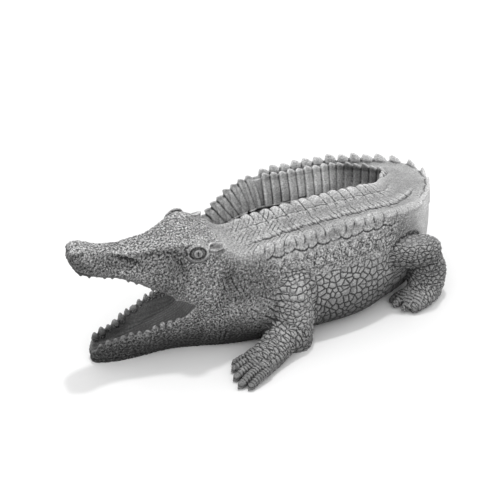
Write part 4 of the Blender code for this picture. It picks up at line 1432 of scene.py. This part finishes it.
def pressed_cells(build, place, dimensions, share, depth):
    """Domed scales parted by creases: their heights and the painted shade in the creases."""
    distances = []
    for feature in ("DISTANCE_TO_EDGE", "F1"):
        cells = build.node("ShaderNodeTexVoronoi",
                           {"Vector": place, "Scale": 1.0, "Randomness": SCALE_RANDOMNESS},
                           voronoi_dimensions=dimensions, feature=feature)
        distances.append(cells.outputs["Distance"])
    crease = build.eased(distances[0], 0.0, CREASE[0], 1.0, 0.0)
    shoulder = build.eased(distances[0], 0.0, SHOULDER[0], 1.0, 0.0)
    dome = build.eased(distances[1], 0.0, DOME[0])
    dip = build.weighed((crease, CREASE[1]), (shoulder, SHOULDER[1]), (dome, DOME[1]))
    shadow = build.weighed((crease, CREASE[2]), (shoulder, shoulder, SHOULDER[2]))
    return build.sum_of("MULTIPLY", dip, -1.0, share, depth), build.sum_of("MULTIPLY", shadow, share)


def pressed_furrows(build, place, share, depth):
    """Lumps parted by thin wandering furrows: their heights and the painted shade in the furrows."""
    swell = build.noise(place, *FURROW_NOISE).outputs[0]
    lumps = build.sum_of("MULTIPLY", build.sum_of("SUBTRACT", swell, 0.5), FURROW_LUMPS)
    off_line = build.alone("ABSOLUTE", build.sum_of("SUBTRACT", swell, FURROW_LEVEL))
    creases = build.eased(off_line, 0.0, FURROW_WIDTH, 1.0, 0.0)
    height = build.weighed((lumps, LUMP_SHARE), (creases, -FURROW_SHARE))
    shadow = build.sum_of("MULTIPLY", creases, share, FURROW_SHADOW)
    return build.sum_of("MULTIPLY", height, share, depth), shadow


def pressed_bands(build, drawn, share, depth):
    """Grooves across the limbs, a scale's length apart: their heights and the painted shade in them."""
    along_limb = build.node("ShaderNodeSeparateXYZ", {0: build.stored("limb_place", "FLOAT_VECTOR")})
    swing = build.noise(drawn, *BAND_NOISE).outputs[0]
    band = build.sum_of("ADD", along_limb.outputs[0], build.sum_of("MULTIPLY", swing, BAND_WANDER))
    past = build.eased(build.alone("FRACT", band), 0.0, BAND_GROOVE)
    groove = build.sum_of("SUBTRACT", 1.0, past)
    shadow = build.sum_of("MULTIPLY", build.sum_of("POWER", groove, 3.0), share, share, BAND_SHADOW)
    return build.sum_of("MULTIPLY", groove, -BAND_DEPTH, share, depth), shadow


def pressed_beads(build, place, share, depth):
    """The heights of small beads."""
    beads = build.eased(build.noise(place, *BEAD_NOISE).outputs[0], *BEAD_LEVELS)
    return build.sum_of("MULTIPLY", build.sum_of("SUBTRACT", beads, BEAD_SINK), share, depth)


def pressed_grain(build, drawn, depth):
    """The heights of the casting's grain, half as high where the skin is smooth."""
    grain = build.sum_of("SUBTRACT", build.noise(drawn, *GRAIN_NOISE).outputs[0], 0.5)
    rough = build.eased(build.stored("smooth"), 0.0, 1.0, 1.0, 0.5)
    return build.sum_of("MULTIPLY", grain, 2.0, depth, rough)


def scales_tree():
    """A tree that presses cobbles, scales, furrows, beads and grain into a skin."""
    build = GeometryTree("pressed_scales")
    sizes = {}
    for name in (*PRESSED_SIZES, "Unit"):
        sizes[name] = build.named_input(name, "NodeSocketFloat", 1.0)
    material = build.named_input("Finish", "NodeSocketMaterial")
    place = build.node("GeometryNodeInputPosition").outputs[0]
    drawn = build.scaled(place, build.sum_of("DIVIDE", 1.0, sizes["Unit"]))

    def in_sizes_of(name, vector):
        """A place in widths of one of the scales."""
        return build.scaled(vector, build.sum_of("DIVIDE", 1.0, sizes[name]))

    swing = build.noise(drawn, *COBBLE_NOISE).outputs["Color"]
    swing = build.node("ShaderNodeVectorMath", {0: swing, 1: (0.5, 0.5, 0.5)}, operation="SUBTRACT")
    flank_place = build.node("ShaderNodeVectorMath",
                             {0: build.stored("flank_place", "FLOAT_VECTOR"),
                              1: build.scaled(swing.outputs[0], COBBLE_WANDER)},
                             operation="ADD").outputs[0]
    limb = build.stored("limb")
    cobbles, cobble_shadow = pressed_cells(
        build, in_sizes_of("Cobble Size", flank_place), "2D", build.stored("flank"),
        sizes["Cobble Depth"])
    plates, plate_shadow = pressed_cells(
        build, build.stored("limb_place", "FLOAT_VECTOR"), "3D", limb, sizes["Plate Depth"])
    furrows, furrow_shadow = pressed_furrows(
        build, in_sizes_of("Furrow Size", drawn), build.stored("furrows"), sizes["Furrow Depth"])
    beads = pressed_beads(
        build, in_sizes_of("Bead Size", drawn), build.stored("beads"), sizes["Bead Depth"])
    bands, band_shadow = pressed_bands(build, drawn, limb, sizes["Plate Depth"])
    grain = pressed_grain(build, drawn, sizes["Grain Depth"])
    height = build.sum_of("ADD", cobbles, plates, furrows, beads, bands, grain)
    shadow = build.sum_of("MAXIMUM", cobble_shadow, plate_shadow, furrow_shadow, band_shadow)
    # The creases' painted shade is kept as hollow
    build.through("GeometryNodeStoreNamedAttribute",
                  {"Name": "hollow", "Value": shadow},
                  data_type="FLOAT", domain="POINT")
    normal = build.node("GeometryNodeInputNormal").outputs[0]
    lift = build.scaled(normal, build.sum_of("MULTIPLY", height, sizes["Unit"]))
    build.through("GeometryNodeSetPosition", {"Offset": lift})
    return build.finish(material)


def press_scales(each, sizes):
    """Press the scales into the skin, at the sizes that the panel gives."""
    modifier = each.modifiers.new("Scales", "NODES")
    modifier.node_group = scales_tree()
    values = {name: getattr(sizes, name.lower().replace(" ", "_")) for name in PRESSED_SIZES}
    set_inputs(modifier, {**values, "Unit": UNIT, "Finish": cast_stone()})
    bake_modifiers(each)


def eased_points(points, edges, rounds):
    """A skin's points after rounds of averaging with their neighbours."""
    count = len(points)
    start, end = edges.T
    degree = np.bincount(start, minlength=count) + np.bincount(end, minlength=count)
    degree = np.maximum(degree, 1)[:, None]
    for _ in range(rounds):
        total = np.empty_like(points)
        for axis in range(3):
            total[:, axis] = np.bincount(start, points[end, axis], count)
            total[:, axis] += np.bincount(end, points[start, axis], count)
        points = 0.5 * points + 0.5 * total / degree
    return points


def mark_recesses(mesh, grain):
    """Store how deep each point lies below its near and its wider surroundings."""
    points, normals = mesh_points(mesh)
    edges = np.empty(len(mesh.edges) * 2, dtype=np.int32)
    mesh.edges.foreach_get("vertices", edges)
    edges = edges.reshape(-1, 2)
    near = eased_points(points, edges, int(NEAR_EASE / grain ** 2))
    wide = eased_points(near, edges, int(WIDE_EASE / grain ** 2))
    keep_value(mesh, "recess", ((near - points) * normals).sum(axis=1))
    keep_value(mesh, "shade", ((wide - points) * normals).sum(axis=1))


def cut_away(shape, place, normal):
    """Cut a mesh at a plane, drop what lies on the normal's side and close the cut."""
    everything = shape.verts[:] + shape.edges[:] + shape.faces[:]
    bmesh.ops.bisect_plane(shape, geom=everything, dist=1e-7, plane_co=place, plane_no=normal,
                           clear_outer=True)
    open_edges = [edge for edge in shape.edges if edge.is_boundary]
    closed = bmesh.ops.triangle_fill(shape, use_beauty=True, use_dissolve=False, edges=open_edges,
                                     normal=normal)
    for face in closed["geom"]:
        if isinstance(face, bmesh.types.BMFace):
            face.smooth = False


def sections(casting):
    """Cut the casting flat where it rests, and divide its skin into sections."""
    casting.data.shade_smooth()
    whole = bmesh.new()
    whole.from_mesh(casting.data)
    cut_away(whole, (0.0, 0.0, 0.0), (0.0, 0.0, -1.0))
    made = []
    for name, planes in SECTIONS:
        shape = whole.copy()
        for place, normal in planes:
            cut_away(shape, Vector(place) * UNIT, Vector(normal))
        mesh = bpy.data.meshes.new(name)
        shape.to_mesh(mesh)
        shape.free()
        mesh.materials.append(cast_stone())
        section = linked(name, mesh)
        even_shading(mesh)
        made.append(section)
        triangles = sum(len(face.vertices) - 2 for face in mesh.polygons)
        if triangles > SECTION_TRIANGLES:
            raise ValueError(f"{name} has {triangles} triangles")
    whole.free()
    bpy.data.objects.remove(casting, do_unlink=True)
    return made


def even_shading(mesh):
    """Shade a section with the whole skin's normals, so that its edges don't show."""
    count = len(mesh.vertices)
    kept = np.empty(count * 3, dtype=np.float32)
    mesh.attributes["skin_normal"].data.foreach_get("vector", kept)
    kept = kept.reshape(-1, 3)
    kept /= np.maximum(np.linalg.norm(kept, axis=1), 1e-6)[:, None]
    corners = np.empty(len(mesh.loops), dtype=np.int32)
    mesh.loops.foreach_get("vertex_index", corners)
    smooth = np.empty(len(mesh.polygons), dtype=bool)
    mesh.polygons.foreach_get("use_smooth", smooth)
    sides = np.empty(len(mesh.polygons), dtype=np.int32)
    mesh.polygons.foreach_get("loop_total", sides)
    faces = np.empty(len(mesh.polygons) * 3, dtype=np.float32)
    mesh.polygons.foreach_get("normal", faces)
    flat = np.repeat(faces.reshape(-1, 3), sides, axis=0)
    normals = np.where(np.repeat(smooth, sides)[:, None], kept[corners], flat)
    mesh.attributes.remove(mesh.attributes["skin_normal"])
    mesh.normals_split_custom_set(normals)


def cast_stone():
    """Weathered cast stone: grey, dark in the recesses with a dark wash and painted shade, pale where it
    is worn, and toned with painted light and shade.
    """
    made = bpy.data.materials.get("weathered_cast_stone")
    if made:
        return made
    colours = bpy.context.scene.cast_crocodile_colours
    material = bpy.data.materials.new("weathered_cast_stone")
    material.use_nodes = True
    material.diffuse_color = colours.stone
    shader = material.node_tree.nodes["Principled BSDF"]
    build = Nodes(material.node_tree)

    def stored(name):
        """A value stored on the points."""
        return build.node("ShaderNodeAttribute", attribute_type="GEOMETRY",
                          attribute_name=name).outputs["Fac"]

    def blended(share, first, second):
        """Two colours mixed by a share of the second."""
        return build.node("ShaderNodeMix", {0: share, 6: first, 7: second},
                          data_type="RGBA", clamp_factor=True).outputs[2]

    place = build.node("ShaderNodeTexCoord").outputs["Object"]
    blotches, speckle, swing, grit = (
        build.noise(place, *settings).outputs[0]
        for settings in (BLOTCH_NOISE, SPECKLE_NOISE, SWING_NOISE, GRIT_NOISE))

    # Painted shade in the wider hollows and the scales' creases, with a dark wash and painted shade in
    # the fine recesses
    recess = build.sum_of("ADD", stored("recess"), build.sum_of("MULTIPLY", speckle, 0.24))
    wide_recess = build.sum_of("ADD", stored("shade"), build.sum_of("MULTIPLY", blotches, 1.6))
    dark = build.sum_of("MAXIMUM", build.eased(recess, *RECESS_WASH_AND_SHADE),
                        build.sum_of("MULTIPLY", stored("hollow"), HOLLOW_SHADE),
                        build.eased(wide_recess, *WIDE_SHADE))
    proud = build.weighed((stored("recess"), -1.0), (blotches, 0.35), (speckle, 0.2))
    worn = build.eased(proud, *WORN_EDGES)

    paler = [min(1.0, PALE_BLOTCH_GAIN * value) for value in colours.stone[:3]] + [1.0]
    grey = blended(build.eased(blotches, *PALE_BLOTCHES), colours.stone, paler)
    grey = blended(build.eased(grit, *PALE_GRIT), grey, colours.worn)
    grey = blended(worn, grey, colours.worn)
    grey = blended(dark, grey, colours.recess)

    on_beads = build.sum_of("MINIMUM", stored("beads"), 1.0)
    swing = build.sum_of("MULTIPLY", build.eased(swing, *BEAD_MOTTLING), on_beads)
    mottled = build.sum_of("MULTIPLY", build.eased(speckle, *MOTTLING),
                           build.sum_of("ADD", swing, 1.0))
    tone = build.sum_of("MULTIPLY", stored("tone"), mottled)
    build.feed(shader.inputs["Base Color"], build.scaled(grey, tone))
    build.feed(shader.inputs["Roughness"], build.eased(speckle, *ROUGHNESS))
    build.feed(shader.inputs["Specular IOR Level"], SPECULAR)
    relief = build.weighed((speckle, 0.6), (grit, 0.4))
    bump = build.node("ShaderNodeBump", {"Strength": BUMP_STRENGTH, "Distance": BUMP_DISTANCE,
                                         "Height": relief})
    build.feed(shader.inputs["Normal"], bump.outputs[0])
    return material


class CROCODILE_OT_large_forms(bpy.types.Operator):
    """Loft the trunk, tail, head, jaw and limbs and run them into one skin."""

    bl_idname = "crocodile.large_forms"
    bl_label = "Large Forms"

    def execute(self, context):
        form = joined(body_forms(LOFT_STEP), "large_forms")
        with_modifier(form, "REMESH", mode="VOXEL", voxel_size=BODY_GRAIN * UNIT)
        with_modifier(form, "SMOOTH", factor=0.5, iterations=BODY_EASE)
        ease_joins(form)
        return {"FINISHED"}


class CROCODILE_OT_toes(bpy.types.Operator):
    """Model the toes and claws of the four feet."""

    bl_idname = "crocodile.toes"
    bl_label = "Toes and Claws"

    def execute(self, context):
        forms = []
        for each in TOES:
            forms += toe(*each)
        joined(forms, "toes")
        return {"FINISHED"}


class CROCODILE_OT_eyes(bpy.types.Operator):
    """Model the eyeballs and the folds of skin round them."""

    bl_idname = "crocodile.eyes"
    bl_label = "Eyes"

    def execute(self, context):
        joined(eye_forms(-1) + eye_forms(1), "eyes")
        return {"FINISHED"}


class CROCODILE_OT_teeth(bpy.types.Operator):
    """Set the teeth along the rims of both jaws."""

    bl_idname = "crocodile.teeth"
    bl_label = "Teeth"

    def execute(self, context):
        sizes = context.scene.cast_crocodile_sizes
        placed_copies("teeth", tooth_shape("tooth"), tooth_marks(sizes.tooth_count))
        return {"FINISHED"}


class CROCODILE_OT_ribs(bpy.types.Operator):
    """Stand the ribs and their lobes along the tail's crest."""

    bl_idname = "crocodile.ribs"
    bl_label = "Tail Ribs"

    def execute(self, context):
        sizes = context.scene.cast_crocodile_sizes
        names = {-1: "ribs_right", 0: "ribs_narrow", 1: "ribs_left"}
        for side, marks in rib_marks(sizes.rib_pitch).items():
            placed_copies(names[side], rib_shape("rib", side), marks)
        return {"FINISHED"}


class CROCODILE_OT_casting(bpy.types.Operator):
    """Run every form into one casting, carve it, press its scales and finish it."""

    bl_idname = "crocodile.casting"
    bl_label = "Casting"

    def execute(self, context):
        sizes = context.scene.cast_crocodile_sizes
        casting = bpy.data.objects["large_forms"]
        for name in ("toes", "eyes", "teeth", "ribs_right", "ribs_narrow", "ribs_left"):
            take_in(casting, bpy.data.objects[name])
        casting.name = "crocodile_casting"
        grain = sizes.skin_grain * 1.0
        with_modifier(casting, "REMESH", mode="VOXEL", voxel_size=grain * UNIT)
        with_modifier(casting, "SMOOTH", factor=CAST_EASE, iterations=1)
        mark_skin(casting.data, sizes.rib_pitch)
        press_scales(casting, sizes)
        mark_recesses(casting.data, grain)
        keep_value(casting.data, "skin_normal", mesh_points(casting.data)[1], "FLOAT_VECTOR")
        for section in sections(casting):
            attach(section, "root")
            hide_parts("crocodile")
        return {"FINISHED"}


class CROCODILE_OT_stage(bpy.types.Operator):
    """Lay the pale floor and set the lights, the world and the camera."""

    bl_idname = "crocodile.stage"
    bl_label = "Stage"

    def execute(self, context):
        scene = context.scene
        colours = scene.cast_crocodile_colours
        mesh = bpy.data.meshes.new("studio_floor")
        corners = [(x * FLOOR_REACH, y * FLOOR_REACH, 0.0) for x, y in
                   ((-1, -1), (1, -1), (1, 1), (-1, 1))]
        mesh.from_pydata(corners, [], [(0, 1, 2, 3)])
        floor = linked("studio_floor", mesh)
        paint = bpy.data.materials.new("pale_floor")
        paint.use_nodes = True
        shader = paint.node_tree.nodes["Principled BSDF"]
        shader.inputs["Base Color"].default_value = colours.floor
        shader.inputs["Roughness"].default_value = 0.9
        mesh.materials.append(paint)
        floor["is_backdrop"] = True

        world = bpy.data.worlds.new("studio_world")
        world.use_nodes = True
        backdrop = world.node_tree.nodes["Background"]
        backdrop.inputs["Color"].default_value = (1.0, 1.0, 1.0, 1.0)
        backdrop.inputs["Strength"].default_value = WORLD_STRENGTH
        scene.world = world
        scene.view_settings.view_transform = "Standard"

        target = Vector(CAMERA_TARGET)
        for name, place, size, power in LIGHTS:
            data = bpy.data.lights.new(name, "AREA")
            data.shape = "DISK"
            data.size = size
            data.energy = power
            light = linked(name, data)
            light.location = place
            light.rotation_euler = (target - Vector(place)).to_track_quat("-Z", "Y").to_euler()

        data = bpy.data.cameras.new("studio_camera")
        data.lens = CAMERA_LENS
        camera = linked("studio_camera", data)
        turn = math.radians(CAMERA_AZIMUTH)
        rise = math.radians(CAMERA_ELEVATION)
        back = Vector((math.sin(turn) * math.cos(rise), -math.cos(turn) * math.cos(rise), math.sin(rise)))
        camera.location = target + CAMERA_DISTANCE * back
        camera.rotation_euler = (-back).to_track_quat("-Z", "Y").to_euler()
        scene.camera = camera
        return {"FINISHED"}


STEPS = (CROCODILE_OT_large_forms, CROCODILE_OT_toes, CROCODILE_OT_eyes, CROCODILE_OT_teeth,
         CROCODILE_OT_ribs, CROCODILE_OT_casting, CROCODILE_OT_stage)


class CROCODILE_PT_panel(bpy.types.Panel):
    """The casting's sizes, its colours and the steps that make it."""

    bl_idname = "CROCODILE_PT_panel"
    bl_label = "Cast Crocodile"
    bl_space_type = "VIEW_3D"
    bl_region_type = "UI"
    bl_category = "Crocodile"

    def draw(self, context):
        layout = self.layout
        for group in (context.scene.cast_crocodile_sizes, context.scene.cast_crocodile_colours):
            for name in group.__annotations__:
                layout.prop(group, name)
        for step in STEPS:
            layout.operator(step.bl_idname)


CLASSES = (CastCrocodileSizes, CastCrocodileColours, *STEPS, CROCODILE_PT_panel)


def register():
    """Register the classes and hang the properties on the scene."""
    for each in CLASSES:
        bpy.utils.register_class(each)
    bpy.types.Scene.cast_crocodile_sizes = PointerProperty(type=CastCrocodileSizes)
    bpy.types.Scene.cast_crocodile_colours = PointerProperty(type=CastCrocodileColours)


def unregister():
    """Take the properties off the scene and unregister the classes."""
    del bpy.types.Scene.cast_crocodile_colours
    del bpy.types.Scene.cast_crocodile_sizes
    for each in reversed(CLASSES):
        bpy.utils.unregister_class(each)


def main():
    """Make the whole scene."""
    register()
    for step in STEPS:
        area, name = step.bl_idname.split(".")
        getattr(getattr(bpy.ops, area), name)()


if __name__ == "__main__":
    main()
